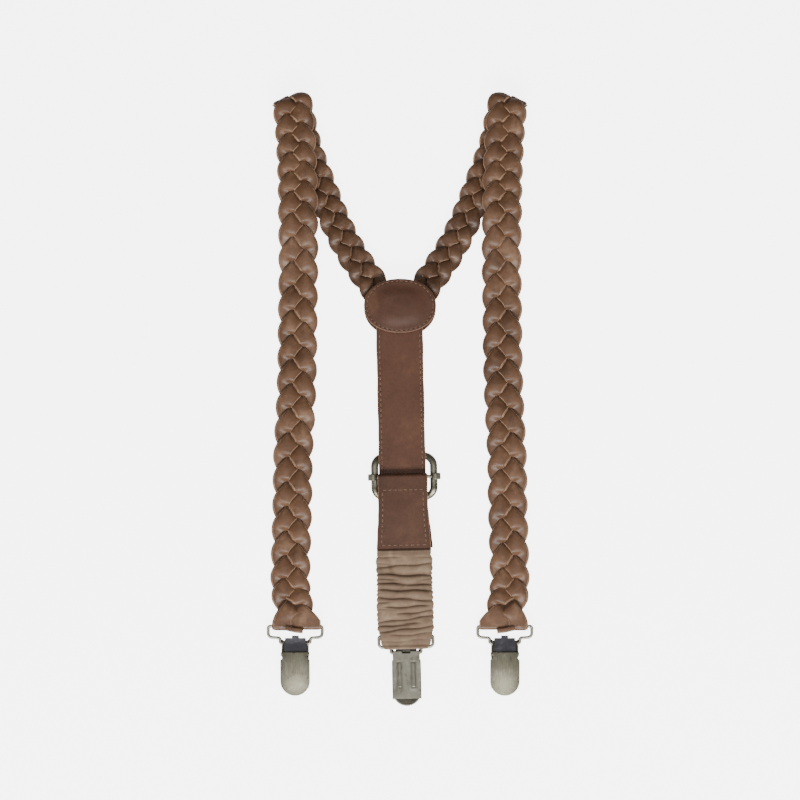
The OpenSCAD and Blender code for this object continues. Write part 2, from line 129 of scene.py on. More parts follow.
# ---------------------------------------------------------------- materials
class Nodes:
    """A short way to write a node tree."""

    def __init__(self, name):
        self.material = bpy.data.materials.new(name)
        self.material.use_nodes = True
        self.tree = self.material.node_tree
        self.shader = self.tree.nodes["Principled BSDF"]
        self.place = self.add("ShaderNodeTexCoord").outputs["Object"]

    def feed(self, node, values):
        """Links or sets a node's inputs."""
        for socket, value in values.items():
            if isinstance(value, bpy.types.NodeSocket):
                self.tree.links.new(value, node.inputs[socket])
            else:
                node.inputs[socket].default_value = value
        return node

    def add(self, kind, values=None, **settings):
        node = self.tree.nodes.new(kind)
        for key, value in settings.items():
            setattr(node, key, value)
        return self.feed(node, values or {})

    def finish(self, colour, normal, rough, **uniform):
        self.feed(self.shader, {"Base Color": colour, "Normal": normal, "Roughness": rough})
        self.feed(self.shader, {key.replace("_", " "): value for key, value in uniform.items()})
        return self.material

    def noise(self, scale, detail, rough, place=None, distortion=0.0):
        values = {"Vector": place or self.place, "Scale": scale, "Detail": detail, "Roughness": rough}
        return self.add("ShaderNodeTexNoise", {**values, "Distortion": distortion}).outputs["Fac"]

    def stretched(self, factors):
        return self.add("ShaderNodeMapping", {"Vector": self.place, "Scale": factors}).outputs["Vector"]

    def attribute(self, name):
        return self.add("ShaderNodeAttribute", attribute_name=name).outputs["Fac"]

    def ramp(self, source, stops, smooth=False):
        """A colour ramp; a stop's colour is three numbers, or one for a grey."""
        node = self.add("ShaderNodeValToRGB", {"Fac": source})
        ramp = node.color_ramp
        if smooth:
            ramp.interpolation = "EASE"
        while len(ramp.elements) < len(stops):
            ramp.elements.new(0.5)
        for element, (position, colour) in zip(ramp.elements, stops):
            element.position = position
            element.color = (*colour, 1) if isinstance(colour, tuple) else (colour, colour, colour, 1)
        return node.outputs["Color"]

    def level(self, source, low, high):
        return self.add("ShaderNodeMapRange", {"Value": source, "To Min": low, "To Max": high}).outputs["Result"]

    def mix(self, kind, factor, a, b):
        node = self.add("ShaderNodeMix", data_type="RGBA", blend_type=kind)
        return self.feed(node, {0: factor, 6: a, 7: b}).outputs[2]

    def maths(self, kind, a, b):
        return self.add("ShaderNodeMath", {0: a, 1: b}, operation=kind).outputs[0]

    def average(self, a, b):
        return self.maths("MULTIPLY", self.maths("ADD", a, b), 0.5)

    def worn_and_shaded(self, colour, wear_and_shade, stops):
        """The colour, darker where the mesh's wear-and-shade value is low, for real wear and for painted shade."""
        return self.mix("MULTIPLY", 1.0, colour, self.ramp(wear_and_shade, stops))

    def bump(self, height, strength, distance):
        values = {"Height": height, "Strength": strength, "Distance": distance}
        return self.add("ShaderNodeBump", values).outputs["Normal"]


def leather(name, dark, mid, light, rough, mottle=90):
    """Waxed pull-up leather: cloudy colour, fine pores, and a paler tone where it is stretched or rubbed; near-black
    painted shade where the wear-and-shade value is low.
    """
    n = Nodes(name)
    cloud = n.noise(mottle, 5.0, 0.6, distortion=0.4)
    colour = n.ramp(cloud, [(0.3, dark), (0.5, mid), (0.72, light)], smooth=True)
    streak = n.noise(420, 4.0, 0.6)
    colour = n.mix("OVERLAY", 0.35, colour, n.ramp(streak, [(0.3, 0.36), (0.7, 0.64)]))
    wear_and_shade = n.attribute("wear_and_shade")
    # Low wear-and-shade values darken it almost to black: painted shade where one strand comes out from under
    # another; the edges darken only a little.
    colour = n.worn_and_shaded(colour, wear_and_shade, [(0.0, (0.1, 0.08, 0.07)), (0.5, 1), (1.0, 1)])
    colour = n.mix("MIX", n.level(wear_and_shade, -0.55, 0.55), colour, (*light, 1))
    pores = n.add("ShaderNodeTexVoronoi", {"Vector": n.place, "Scale": 1500.0}).outputs["Distance"]
    height = n.maths("ADD", n.maths("MULTIPLY", pores, 0.55), n.noise(650, 6.0, 0.65))
    gloss = n.level(n.noise(260, 4.0, 0.6), rough - 0.09, rough + 0.12)
    return n.finish(
        colour, n.bump(height, 0.35, 0.00012), gloss, Specular_IOR_Level=0.5, Sheen_Weight=0.08, Sheen_Roughness=0.5
    )


def raw_edge(name, dark, light):
    """The cut side of a hide: pale, matt and fibrous."""
    n = Nodes(name)
    fibre = n.noise(1900, 4.0, 0.7, n.stretched((1, 1, 2.5)))
    patch = n.noise(240, 3.0, 0.6)
    colour = n.ramp(n.average(fibre, patch), [(0.36, dark), (0.62, light)])
    # Painted shade: very low wear-and-shade values, where another strand covers the cut edge, halve its brightness.
    colour = n.worn_and_shaded(colour, n.attribute("wear_and_shade"), [(0.0, 0.5), (0.3, 1)])
    return n.finish(colour, n.bump(fibre, 0.5, 0.0001), n.level(patch, 0.62, 0.85))


def thread(name, dark, light):
    n = Nodes(name)
    strand = n.noise(5200, 2.0, 0.5, n.stretched((1.0, 0.35, 1.0)))
    colour = n.ramp(strand, [(0.3, dark), (0.7, light)])
    return n.finish(colour, n.bump(strand, 0.6, 0.00008), n.level(strand, 0.45, 0.7), Sheen_Weight=0.25)


def suede(name, dark, mid, light, fine=2600.0):
    """Soft napped covering of the elastic: matt, short fibres, with painted shade in the folds."""
    n = Nodes(name)
    nap = n.noise(fine, 3.0, 0.7)
    patch = n.noise(120, 5.0, 0.62, distortion=0.6)
    tone = n.average(n.maths("MULTIPLY", nap, 0.5), n.maths("MULTIPLY", patch, 1.5))
    colour = n.ramp(tone, [(0.3, dark), (0.5, mid), (0.68, light)], smooth=True)
    # Painted shade: darker where the wear-and-shade value is low, in the sleeve's creases.
    colour = n.worn_and_shaded(colour, n.attribute("wear_and_shade"), [(0.0, (0.42, 0.38, 0.36)), (0.5, 0.95), (1.0, 1)])
    rough = n.level(patch, 0.7, 0.92)
    return n.finish(colour, n.bump(nap, 0.5, 0.00015), rough, Sheen_Weight=0.35, Sheen_Roughness=0.4)


def antique_metal(name, dark, mid, light, rough, brush=(1, 1, 1), patina=0.5, shaded_hollows=False):
    """Plated metal, brushed and toned: dark patina in patches, painted shade in the hollows the mesh marks, fine
    scratches along the brushing.
    """
    n = Nodes(name)
    scratch = n.noise(1500, 4.0, 0.6, n.stretched(brush))
    patch = n.noise(150, 5.0, 0.6, distortion=0.5)
    tone = n.maths("ADD", n.maths("MULTIPLY", patch, 1 - 0.4 * patina), n.maths("MULTIPLY", scratch, 0.4 * patina))
    colour = n.ramp(tone, [(0.3, dark), (0.5, mid), (0.7, light)], smooth=True)
    # Painted shade in the pressed grooves and the notch, from the mesh's wear-and-shade value.
    if shaded_hollows:
        colour = n.worn_and_shaded(colour, n.attribute("wear_and_shade"), [(0.05, 0.12), (0.46, 1)])
    gloss = n.level(n.average(patch, scratch), rough - 0.1, rough + 0.16)
    tint = (0.35, 0.33, 0.28, 1)
    return n.finish(colour, n.bump(scratch, 0.22, 0.00005), gloss, Metallic=0.92, Specular_Tint=tint)


def moulded(name, dark, light, rough):
    n = Nodes(name)
    speck = n.noise(900, 4.0, 0.6)
    colour = n.ramp(speck, [(0.3, dark), (0.7, light)])
    return n.finish(colour, n.bump(speck, 0.25, 0.00006), n.level(speck, rough - 0.08, rough + 0.1))


MATERIALS = {}


def make_materials():
    m = MATERIALS
    lengthways = (1, 0.12, 1)
    m["braid"] = leather("braid_leather", (0.110, 0.051, 0.023), (0.176, 0.084, 0.040), (0.29, 0.155, 0.085), 0.40)
    m["strap"] = leather(
        "strap_leather", (0.096, 0.034, 0.015), (0.119, 0.044, 0.020), (0.160, 0.065, 0.029), 0.52, mottle=50
    )
    m["edge"] = raw_edge("raw_edge", (0.30, 0.165, 0.095), (0.56, 0.35, 0.22))
    m["strap_edge"] = raw_edge("strap_raw_edge", (0.26, 0.13, 0.075), (0.43, 0.235, 0.14))
    m["thread"] = thread("tan_thread", (0.19, 0.10, 0.058), (0.34, 0.195, 0.12))
    # Near-black dots at the stitch ends: painted shade inside the needle holes.
    m["hole"] = moulded("needle_hole_shade", (0.02, 0.01, 0.007), (0.045, 0.022, 0.014), 0.8)
    m["sleeve"] = suede("sleeve_cloth", (0.20, 0.125, 0.072), (0.31, 0.205, 0.130), (0.43, 0.30, 0.20))
    m["elastic"] = suede("elastic_webbing", (0.45, 0.42, 0.38), (0.6, 0.57, 0.52), (0.7, 0.67, 0.62), 1400.0)
    m["board"] = moulded("filler_board", (0.30, 0.20, 0.12), (0.42, 0.30, 0.19), 0.8)
    m["brass"] = antique_metal(
        "antique_brass", (0.12, 0.112, 0.076), (0.232, 0.218, 0.160), (0.37, 0.352, 0.276), 0.5, lengthways, 1.2
    )
    # A paler copy of the brass for the rear clip's lever: painted light on the inside of its curved tip, which the
    # lamps leave dark.
    m["rear_dome_painted_light"] = antique_metal(
        "pale_brass_painted_light", (0.23, 0.22, 0.17), (0.40, 0.385, 0.315), (0.60, 0.58, 0.49), 0.5, lengthways, 1.2
    )
    m["brass_wire"] = antique_metal(
        "antique_brass_wire", (0.26, 0.245, 0.19), (0.50, 0.475, 0.39), (0.74, 0.71, 0.60), 0.34
    )
    m["ring"] = antique_metal("dark_brass", (0.10, 0.096, 0.066), (0.27, 0.257, 0.195), (0.50, 0.48, 0.38), 0.34)
    m["plate"] = antique_metal(
        "antique_brass_plate", (0.16, 0.15, 0.11), (0.29, 0.275, 0.22), (0.44, 0.42, 0.35), 0.42, lengthways,
        shaded_hollows=True,
    )
    m["steel"] = antique_metal(
        "dark_steel", (0.05, 0.05, 0.056), (0.09, 0.088, 0.1), (0.17, 0.165, 0.185), 0.36, (0.2, 1, 1)
    )
    m["pad"] = moulded("grip_pad", (0.5, 0.5, 0.48), (0.62, 0.62, 0.6), 0.45)


# The record's material slot that each look belongs to.
dict.fromkeys(("strap", "edge", "strap_edge", "thread", "hole"), "strap_leather")
dict.fromkeys(("brass", "plate", "ring", "brass_wire", "rear_dome_painted_light"), "antique_brass")


# ---------------------------------------------------------------- mesh helpers, in millimetres
def mesh_piece(name, form, *looks):
    """A mesh object. form is points and faces, and may add a mark for each face, which picks one of the
    looks, and a wear-and-shade value for each point, where 0.5 is plain and lower values darken for real wear and
    for painted shade."""
    points, faces, marks, wear_and_shade = (*form, None, None)[:4]
    mesh = bpy.data.meshes.new(name)
    mesh.from_pydata((np.asarray(points, float) * MM).tolist(), [], [list(map(int, f)) for f in faces])
    for look in looks:
        mesh.materials.append(MATERIALS[look])
    if len(looks) > 1:
        mesh.polygons.foreach_set("material_index", np.asarray(marks, np.int32))
    wear_and_shade = np.full(len(points), 0.5) if wear_and_shade is None else wear_and_shade
    mesh.attributes.new("wear_and_shade", "FLOAT", "POINT").data.foreach_set("value", wear_and_shade.astype(np.float32))
    mesh.polygons.foreach_set("use_smooth", np.ones(len(faces), bool))
    mesh.validate()
    mesh.update()
    piece = add_object(name, mesh)
    return piece


def grid_faces(rows, columns, wrap_rows=False, wrap_columns=True, first=0):
    """Quads over rows x columns of points; columns wrap round a closed section."""
    row_count = rows if wrap_rows else rows - 1
    column_count = columns if wrap_columns else columns - 1
    i, j = np.meshgrid(np.arange(row_count), np.arange(column_count), indexing="ij")
    a = i * columns + j
    b = i * columns + (j + 1) % columns
    c = ((i + 1) % rows) * columns + (j + 1) % columns
    d = ((i + 1) % rows) * columns + j
    return (first + np.stack([a, b, c, d], -1).reshape(-1, 4)).tolist()


def end_caps(rows, columns):
    """The faces that close the two ends of such a grid."""
    return [list(range(columns)), list(range((rows - 1) * columns, rows * columns))[::-1]]


def flipped(faces):
    return [face[::-1] for face in faces]


def unit(vectors):
    return vectors / np.linalg.norm(vectors, axis=-1, keepdims=True)


def distances(path):
    """How far along a path each of its points lies."""
    return np.concatenate([[0], np.cumsum(np.linalg.norm(np.diff(path, axis=0), axis=1))])


def tube(path, radius, sides, closed=False, squash=1.0):
    """Points and faces of a tube along a path; squash is its height over its width."""
    path = np.asarray(path, float)
    count = len(path)
    ahead = np.roll(path, -1, 0) - np.roll(path, 1, 0)
    if not closed:
        ahead[0], ahead[-1] = path[1] - path[0], path[-1] - path[-2]
    ahead = unit(ahead)
    helper = np.array([0, 0, 1.0]) if abs(ahead[0][2]) < 0.9 else np.array([1.0, 0, 0])
    side = np.zeros_like(path)
    side[0] = unit(np.cross(ahead[0], helper))
    for i in range(1, count):
        side[i] = unit(side[i - 1] - np.dot(side[i - 1], ahead[i]) * ahead[i])
    up = np.cross(ahead, side)
    turn = full_turn(sides)[None, :, None]
    ring = np.cos(turn) * side[:, None, :] + np.sin(turn) * up[:, None, :] * squash
    points = (path[:, None, :] + ring * radius).reshape(-1, 3)
    faces = grid_faces(count, sides, wrap_rows=closed)
    return points, faces if closed else faces + flipped(end_caps(count, sides))


def full_turn(count):
    return np.linspace(0, 2 * np.pi, count, endpoint=False)


def arc_points(centre, radius, start, end, count):
    turn = np.radians(np.linspace(start, end, count))
    return np.stack([centre[0] + radius * np.cos(turn), centre[1] + radius * np.sin(turn)], -1).tolist()


def squared_turn(turn, power):
    """Points round a superellipse of half width and half height 1."""
    cos, sin = np.cos(turn), np.sin(turn)
    return np.sign(cos) * np.abs(cos) ** (2 / power), np.sign(sin) * np.abs(sin) ** (2 / power)


def ramp(value, start, end):
    t = np.clip((np.asarray(value, float) - start) / (end - start), 0, 1)
    return t * t * (3 - 2 * t)


def smooth_curve(points, step, closed=False):
    """Catmull-Rom curve through the points, as dense points. Steps are measured in the first three columns."""
    p = np.asarray(points, float)
    p = np.vstack([p[-1], p, p[:2]] if closed else [2 * p[0] - p[1], p, 2 * p[-1] - p[-2]])
    dense = []
    for a, b, c, d in zip(p, p[1:], p[2:], p[3:]):
        t = np.linspace(0, 1, max(2, int(np.linalg.norm((c - b)[:3]) / step)), endpoint=False)[:, None]
        bend, twist = 2 * a - 5 * b + 4 * c - d, 3 * b - a - 3 * c + d
        dense.append(0.5 * (2 * b + (c - a) * t + bend * t**2 + twist * t**3))
    return np.vstack(dense if closed else dense + [p[-2]])


def joined(parts):
    """Joins (points, faces, marks, wear_and_shade) parts into one of each; marks may be a number, wear_and_shade is
    optional.
    """
    points, faces, marks, wear_and_shade = [], [], [], []
    for part in parts:
        p, f, mark = part[:3]
        base = sum(len(x) for x in points)
        points.append(np.asarray(p, float))
        faces += [[base + k for k in face] for face in f]
        marks += [mark] * len(f) if np.isscalar(mark) else list(mark)
        wear_and_shade.append(part[3] if len(part) > 3 else np.full(len(p), 0.5))
    return np.concatenate(points), faces, marks, np.concatenate(wear_and_shade)


# ---------------------------------------------------------------- the braids
BRAID_Z, FOLD_Y, FOLD_R, FOLD_LEAN = 2.85, 160.0, 3.5, 12.0
FOLD_Z, FRONT_Z = BRAID_Z + FOLD_R, BRAID_Z + 2 * FOLD_R
REAR_LINE = [
    (-9.6, 56.2, 3.9, 39), (-13.6, 61, 3.8, 38), (-26.3, 79.5, BRAID_Z, 31), (-36, 98.4, BRAID_Z, 25),
    (-44.4, 119.6, BRAID_Z, 21.5), (-53.1, 140.4, BRAID_Z, 18), (-58.4, FOLD_Y, BRAID_Z, 12),
]
FRONT_LINE = [
    (-58.4, FOLD_Y, FRONT_Z, 12), (-56.8, 142, FRONT_Z, 5), (-55.7, 118, FRONT_Z, 1),
    (-55.4, 96, FRONT_Z - 0.2, 0), (-55.4, 79, 6.1, -0.5), (-55.7, 60, BRAID_Z, -0.8),
    (-56.5, 8.2, BRAID_Z, -2), (-58.4, -30.5, BRAID_Z, -1.5), (-58.9, -57.8, BRAID_Z, -1),
    (-59.9, -98.8, BRAID_Z, 0), (-58.8, -110, BRAID_Z, 6), (-57.9, -116.4, BRAID_Z, 7),
]
SWING, HALF_WIDTH, FRONT_PERIOD, REAR_PERIOD, REAR_SCALE = 6.2, 4.85, 40.2, 31.4, 0.8
LAYER, PUFF = 0.66, 1.25
END_PHASE = 135.0
WIRE_Y, WIRE_Z, WIRE_R = -124.0, 3.0, 0.75


class BraidLine:
    """The centre line of a braid: from the yoke, over the fold at the shoulder and down the front."""

    def __init__(self):
        rear, front = smooth_curve(REAR_LINE, 0.5), smooth_curve(FRONT_LINE, 0.5)
        lean = math.radians(FOLD_LEAN)
        out = np.array([-math.sin(lean), math.cos(lean), 0])
        turn = np.linspace(0, np.pi, 24)[1:-1]
        centre = np.array([REAR_LINE[-1][0], FOLD_Y, FOLD_Z])
        arc = centre + FOLD_R * (np.sin(turn)[:, None] * out - np.cos(turn)[:, None] * np.array([0, 0, 1.0]))
        arc = np.hstack([arc, np.full((len(arc), 1), FOLD_LEAN)])
        line = np.vstack([rear, arc, front])
        s = distances(line[:, :3])
        keep = np.concatenate([[True], np.diff(s) > 1e-6])
        self.line, self.s = line[keep], s[keep]
        self.fold = (s[len(rear) - 1], s[len(rear) + len(arc)])
        self.end = s[-1]
        steps = np.arange(0, self.end + 20, 1.0)
        rate = 360.0 / self.period(steps)
        phase = np.concatenate([[0], np.cumsum((rate[1:] + rate[:-1]) / 2)])
        self.steps = steps
        # The braid's pattern is fixed by the phase at which it reaches the wire.
        self.phases = phase + END_PHASE - np.interp(self.end, steps, phase)

    def period(self, s):
        return REAR_PERIOD + (FRONT_PERIOD - REAR_PERIOD) * ramp(s, self.fold[1] + 35, self.fold[1] + 75)

    def phase(self, s):
        return np.interp(s, self.steps, self.phases)

    def width(self, s):
        return REAR_SCALE + (1 - REAR_SCALE) * ramp(s, self.fold[0] - 45, self.fold[0])

    def front(self, s):
        return s > self.fold[1] - 4

    def rise(self, s):
        return 0.85 + 0.15 * ramp(s, 0, 25)

    def place(self, s):
        inside = np.clip(s, 0, self.end)
        p = np.stack([np.interp(inside, self.s, self.line[:, k]) for k in range(3)], -1)
        first = unit(self.line[1, :3] - self.line[0, :3])
        last = unit(self.line[-1, :3] - self.line[-2, :3])
        return p + np.minimum(s, 0)[..., None] * first + np.maximum(s - self.end, 0)[..., None] * last

    def on(self, s, u, z):
        """The points at distances s along the line, u across it and z out from it."""
        ahead = unit(self.place(s + 0.5) - self.place(s - 0.5))
        lean = np.radians(np.interp(s, self.s, self.line[:, 3]))
        side = np.stack([-np.cos(lean), -np.sin(lean), np.zeros_like(lean)], -1)
        side = unit(side - (side * ahead).sum(-1, keepdims=True) * ahead)
        return self.place(s) + u[..., None] * side + z[..., None] * np.cross(side, ahead)


def cells_round(row, column, rows, columns):
    """The table cells round each place, with their weights; rows wrap round."""
    i, j = np.floor(row).astype(int) % rows, np.clip(np.floor(column).astype(int), 0, columns - 2)
    k, fi, fj = (i + 1) % rows, row - np.floor(row), column - j
    return [(i, j, (1 - fi) * (1 - fj)), (k, j, fi * (1 - fj)), (i, j + 1, (1 - fi) * fj), (k, j + 1, fi * fj)]


def pressed_heights():
    """Heights of a strand above the braid's middle, by phase and place across it.

    Three equal strands a third of a period apart are pressed together until each passes over the
    next with its own thickness between them, while bending keeps them smooth.
    """
    phases, across, rounds = 72, 13, 420
    thick, top, tiny, least_lift, full_lift = 1.32, 1.75, 1e-4, 0.25, 0.5
    t, v = np.meshgrid(np.arange(phases) * 2 * np.pi / phases, np.linspace(-1, 1, across), indexing="ij")
    rate = 2 * np.pi / FRONT_PERIOD

    def plan(t, v):
        lead = SWING * np.cos(t) * rate
        slant = np.sqrt(1 + lead**2)
        return t / rate - v * HALF_WIDTH * lead / slant, SWING * np.sin(t) + v * HALF_WIDTH / slant

    along, sideways = plan(t, v)
    contacts = []
    for shift in (2 * np.pi / 3, -2 * np.pi / 3):
        tt = along * rate + shift
        vv = np.clip((sideways - SWING * np.sin(tt)) / HALF_WIDTH, -1, 1)
        for _ in range(30):
            s0, u0 = plan(tt, vv)
            s1, u1 = plan(tt + tiny, vv)
            s2, u2 = plan(tt, vv + tiny)
            a, b, c, d = (s1 - s0) / tiny, (s2 - s0) / tiny, (u1 - u0) / tiny, (u2 - u0) / tiny
            miss_s, miss_u = along - (s0 - shift / rate), sideways - u0
            det = a * d - b * c
            tt = tt + np.clip((d * miss_s - b * miss_u) / det, -0.4, 0.4)
            vv = np.clip(vv + np.clip((-c * miss_s + a * miss_u) / det, -0.5, 0.5), -1.6, 1.6)
        sign = 1 if shift > 0 else -1
        lift = (np.sin(2 * t) - np.sin(2 * tt)) * sign
        use = (np.hypot(miss_s, miss_u) < 1e-2) & (np.abs(vv) <= 1) & (lift > least_lift)
        i, j = np.nonzero(use)
        row, column = (tt[use] / (2 * np.pi) * phases) % phases, (vv[use] + 1) / 2 * (across - 1)
        corners = cells_round(row, column, phases, across)
        gap = thick * np.clip((lift[use] - least_lift) / full_lift, 0, 1)
        contacts.append((sign, i, j, corners, gap))
    z = top * np.sin(2 * t) * (1 - 0.5 * v * v) + 0.8 * v * np.cos(t)
    for _ in range(rounds):
        edge = np.pad(z, ((0, 0), (1, 1)), mode="edge")
        along_pull = np.roll(z, 1, 0) + np.roll(z, -1, 0) - 2 * z
        z = z + 0.25 * along_pull + 0.12 * (edge[:, 2:] + edge[:, :-2] - 2 * z)
        for _ in range(3):
            for sign, i, j, corners, gap in contacts:
                other = sum(w * z[p, q] for p, q, w in corners)
                push = sign * np.maximum(0, gap - sign * (z[i, j] - other)) * 0.5
                change, weight = np.zeros_like(z), np.zeros_like(z)
                np.add.at(change, (i, j), push)
                np.add.at(weight, (i, j), 1.0)
                for p, q, w in corners:
                    np.add.at(change, (p, q), -push * w)
                    np.add.at(weight, (p, q), w)
                z = z + change / np.maximum(weight, 1)
        z = np.clip(z, -top, top)
    return z


def look_up(table, phase, across):
    """The table's value at phases in degrees and places across from -1 to 1."""
    rows, columns = table.shape
    row = (phase / 360 * rows) % rows
    column = np.clip((across + 1) / 2 * (columns - 1), 0, columns - 1.001)
    return sum(weight * table[i, j] for i, j, weight in cells_round(row, column, rows, columns))


# A strand is a strip folded in two. Each layer's section: place across, height, and 1 where the hide is cut.
def layer_section(face, low, high):
    """Section of one layer as rows of (across, height, cut): face is 1 for the outer layer, -1 for the inner."""
    rim = [(0, 0.03, 1), (0.02, 0.5, 1), (0.08, 0.86, 1)]
    rows = [(low + inset, height, cut) for inset, height, cut in rim]
    rows += [(v, 1.0, 0) for v in np.linspace(low + 0.15, high - 0.15, 9)]
    rows += [(high - inset, height, cut) for inset, height, cut in rim[::-1]]
    section = np.array(rows)
    section[:, 1] *= face
    return section if face > 0 else section[::-1]


EDGE_STEP = 0.13
SECTIONS = [layer_section(1, -1.0, 1 - EDGE_STEP), layer_section(-1, -1 + EDGE_STEP, 1.0)]


class Strand:
    """One strand of a braid, as rings of points at chosen distances along it."""

    # For each strand, the phase at which it stays and how far it is hurried on towards it.
    END = {0: (270.0, 60.0), 1: (360.0, 60.0), 2: (90.0, 25.0)}
    # How much wider each strand lies over the wire, on its outer and inner side, and how far it is
    # lifted off the one below.
    FLARE = {0: (0.5, 1.4, 0.3), 1: (0.0, 0.0, 0.0), 2: (0.26, -0.05, 0.65)}
    THIN, SETTLE, RUN_IN, EARLY_LIFT, EDGE_DIP = 0.6, 20.0, 6.0, 0.6, 1.15

    def __init__(self, line, heights, index, side):
        self.line, self.heights, self.index, self.side = line, heights, index, side
        self.spread, self.inner_spread, self.lift = self.FLARE[index]
        self.outward = np.sign(round(math.sin(math.radians(self.END[index][0]))))

    def phase(self, s):
        """Phase in degrees. Near the wire each strand runs on to its place beside the others."""
        t = self.line.phase(s) + 120.0 * self.index
        end = self.line.phase(self.line.end) + 120.0 * self.index
        last, extra = self.END[self.index]
        last += end - (end % 360)
        t = t + extra * ramp(s, self.line.end - 24, self.line.end + 3)
        over = t - (last - self.SETTLE)
        return np.where(over > 0, last - self.SETTLE * np.exp(-over / self.SETTLE), t)

    def rings(self, s):
        """For each layer, its points' distances along the braid, places across it and heights, and the phases."""
        line = self.line
        t = self.phase(s)
        angle = np.radians(t)[:, None]
        flare = ramp(s, line.end - self.RUN_IN, line.end + self.RUN_IN)[:, None]
        scale = line.width(s)[:, None]
        swing = SWING * scale * (1 + 0.1 * flare)
        lead = swing * np.cos(angle) * 2 * np.pi / line.period(s)[:, None] * (1 - flare)
        slant = np.sqrt(1 + lead**2)
        early = 0 * flare
        if self.index == 2:
            early = self.EARLY_LIFT * ramp(s, line.end - self.RUN_IN, line.end - 2)[:, None] * (1 - flare)
        band = WIRE_Z - BRAID_Z + WIRE_R + 0.1 + LAYER * self.THIN + self.lift
        thin = LAYER * (1 - (1 - self.THIN) * flare)
        rise = line.rise(s)[:, None] * (0.86 + 0.14 * scale)
        behind = np.where(line.front(s), 0.25, 1.0)[:, None]
        layers = []
        for section in SECTIONS:
            v, level = section[:, 0][None, :], section[:, 1][None, :]
            face = np.sign(section[6, 1])
            spread = np.where(v * self.outward < 0, self.inner_spread, self.spread)
            reach = v * HALF_WIDTH * scale * (1 + spread * flare)
            base = look_up(self.heights, t[:, None] + 0 * v, v + 0 * t[:, None])
            lobe = np.clip(v * np.sin(angle), 0, 1) ** 3 * np.abs(np.sin(angle)) ** 4
            base = (base - self.EDGE_DIP * lobe) * (1 - flare) + band * flare
            base = base - 0.5 * flare * (1 - flare) * v * v + early
            arch = np.clip(face * np.sin(2 * angle), 0, 1) * (1 - v**2) ** 0.8
            bulge = (0.2 * (1 - v**2) + PUFF * arch) * (1 - 0.85 * flare)
            if face < 0:
                bulge = bulge * behind
            z = base * rise + level * thin + face * bulge * (np.abs(level) > 0.8)
            layers.append((s[:, None] - reach * lead / slant, swing * np.sin(angle) + reach / slant, z, t))
        return layers

    def mesh(self, start, end, wrap):
        s = np.linspace(start, end, int((end - start) / 0.62) + 2)
        parts = []
        for section, (along, across, height, t) in zip(SECTIONS, self.rings(s)):
            points = self.line.on(along, across, height)
            if wrap:
                points = self.wrapped(points, section)
            rows, columns = points.shape[:2]
            extra = (0, rows - len(s))
            far = np.pad(s, extra, mode="edge")[:, None]
            angle = np.radians(np.pad(t, extra, mode="edge"))[:, None]
            v = section[:, 0][None, :]
            crest = np.clip(np.sign(section[6, 1]) * np.sin(2 * angle), 0, 1)
            covered_shade = (1 - ramp(crest, 0.0, 0.5)) * (0.12 + 0.88 * ramp(np.cos(angle) ** 2, 0.4, 0.8))
            covered_shade = covered_shade * (1 - ramp(np.arange(rows)[:, None], len(s) - 14, len(s) - 4))
            # Darker at the edges, on the rear braids and towards the yoke, with painted shade where another strand
            # covers it, and slightly paler along each lobe's crown.
            wear_and_shade = 0.5 - 0.16 * np.clip((np.abs(v) - 0.72) / 0.28, 0, 1) ** 2
            wear_and_shade = wear_and_shade - 0.1 * (1 - self.line.width(far)) / (1 - REAR_SCALE) - 0.1 * (1 - ramp(far, 5, 75))
            wear_and_shade = wear_and_shade - 0.34 * covered_shade + 0.06 * crest * (1 - v**2)
            # Painted shadow: a dark band along the inner edge of the first strand's end, where it lies over the next
            # band.
            if self.index == 0:
                foot = ramp(far, self.line.end - 7, self.line.end)
                wear_and_shade = wear_and_shade - 0.36 * foot * ramp(-v * self.outward, 0.5, 0.92)
            cut = (section[:, 2] + np.roll(section[:, 2], -1)) > 1.5
            marks = np.concatenate([np.tile(cut.astype(int), rows - 1), [1, 1]])
            faces = grid_faces(rows, columns) + end_caps(rows, columns)
            points = points.reshape(-1, 3) * [self.side, 1, 1]
            parts.append((points, flipped(faces) if self.side > 0 else faces, marks, wear_and_shade.reshape(-1)))
        return joined(parts)

    def wrapped(self, points, section):
        """Carries the strand's end round the wire of the clip's loop and up behind the braid."""
        x, y, z = points[-1].T
        thin = LAYER * self.THIN
        outward = np.abs(section[:, 1]) * thin + 0.06 * (1 - section[:, 0] ** 2)
        radius = WIRE_R + 0.1 + thin + self.lift + np.sign(section[6, 1]) * outward
        rows = []
        for share in (1 / 3, 2 / 3):
            rows.append([x, y * (1 - share) + WIRE_Y * share, z * (1 - share) + (WIRE_Z + radius) * share])
        for turn in np.linspace(0, math.pi, 11):
            rows.append([x, WIRE_Y - radius * math.sin(turn), WIRE_Z + radius * math.cos(turn)])
        for rise in (1.5, 3.0):
            rows.append([x, WIRE_Y + rise + 0 * x, WIRE_Z - radius])
        return np.concatenate([points, np.array(rows).swapaxes(1, 2)])


COVERED_PHASE = 135


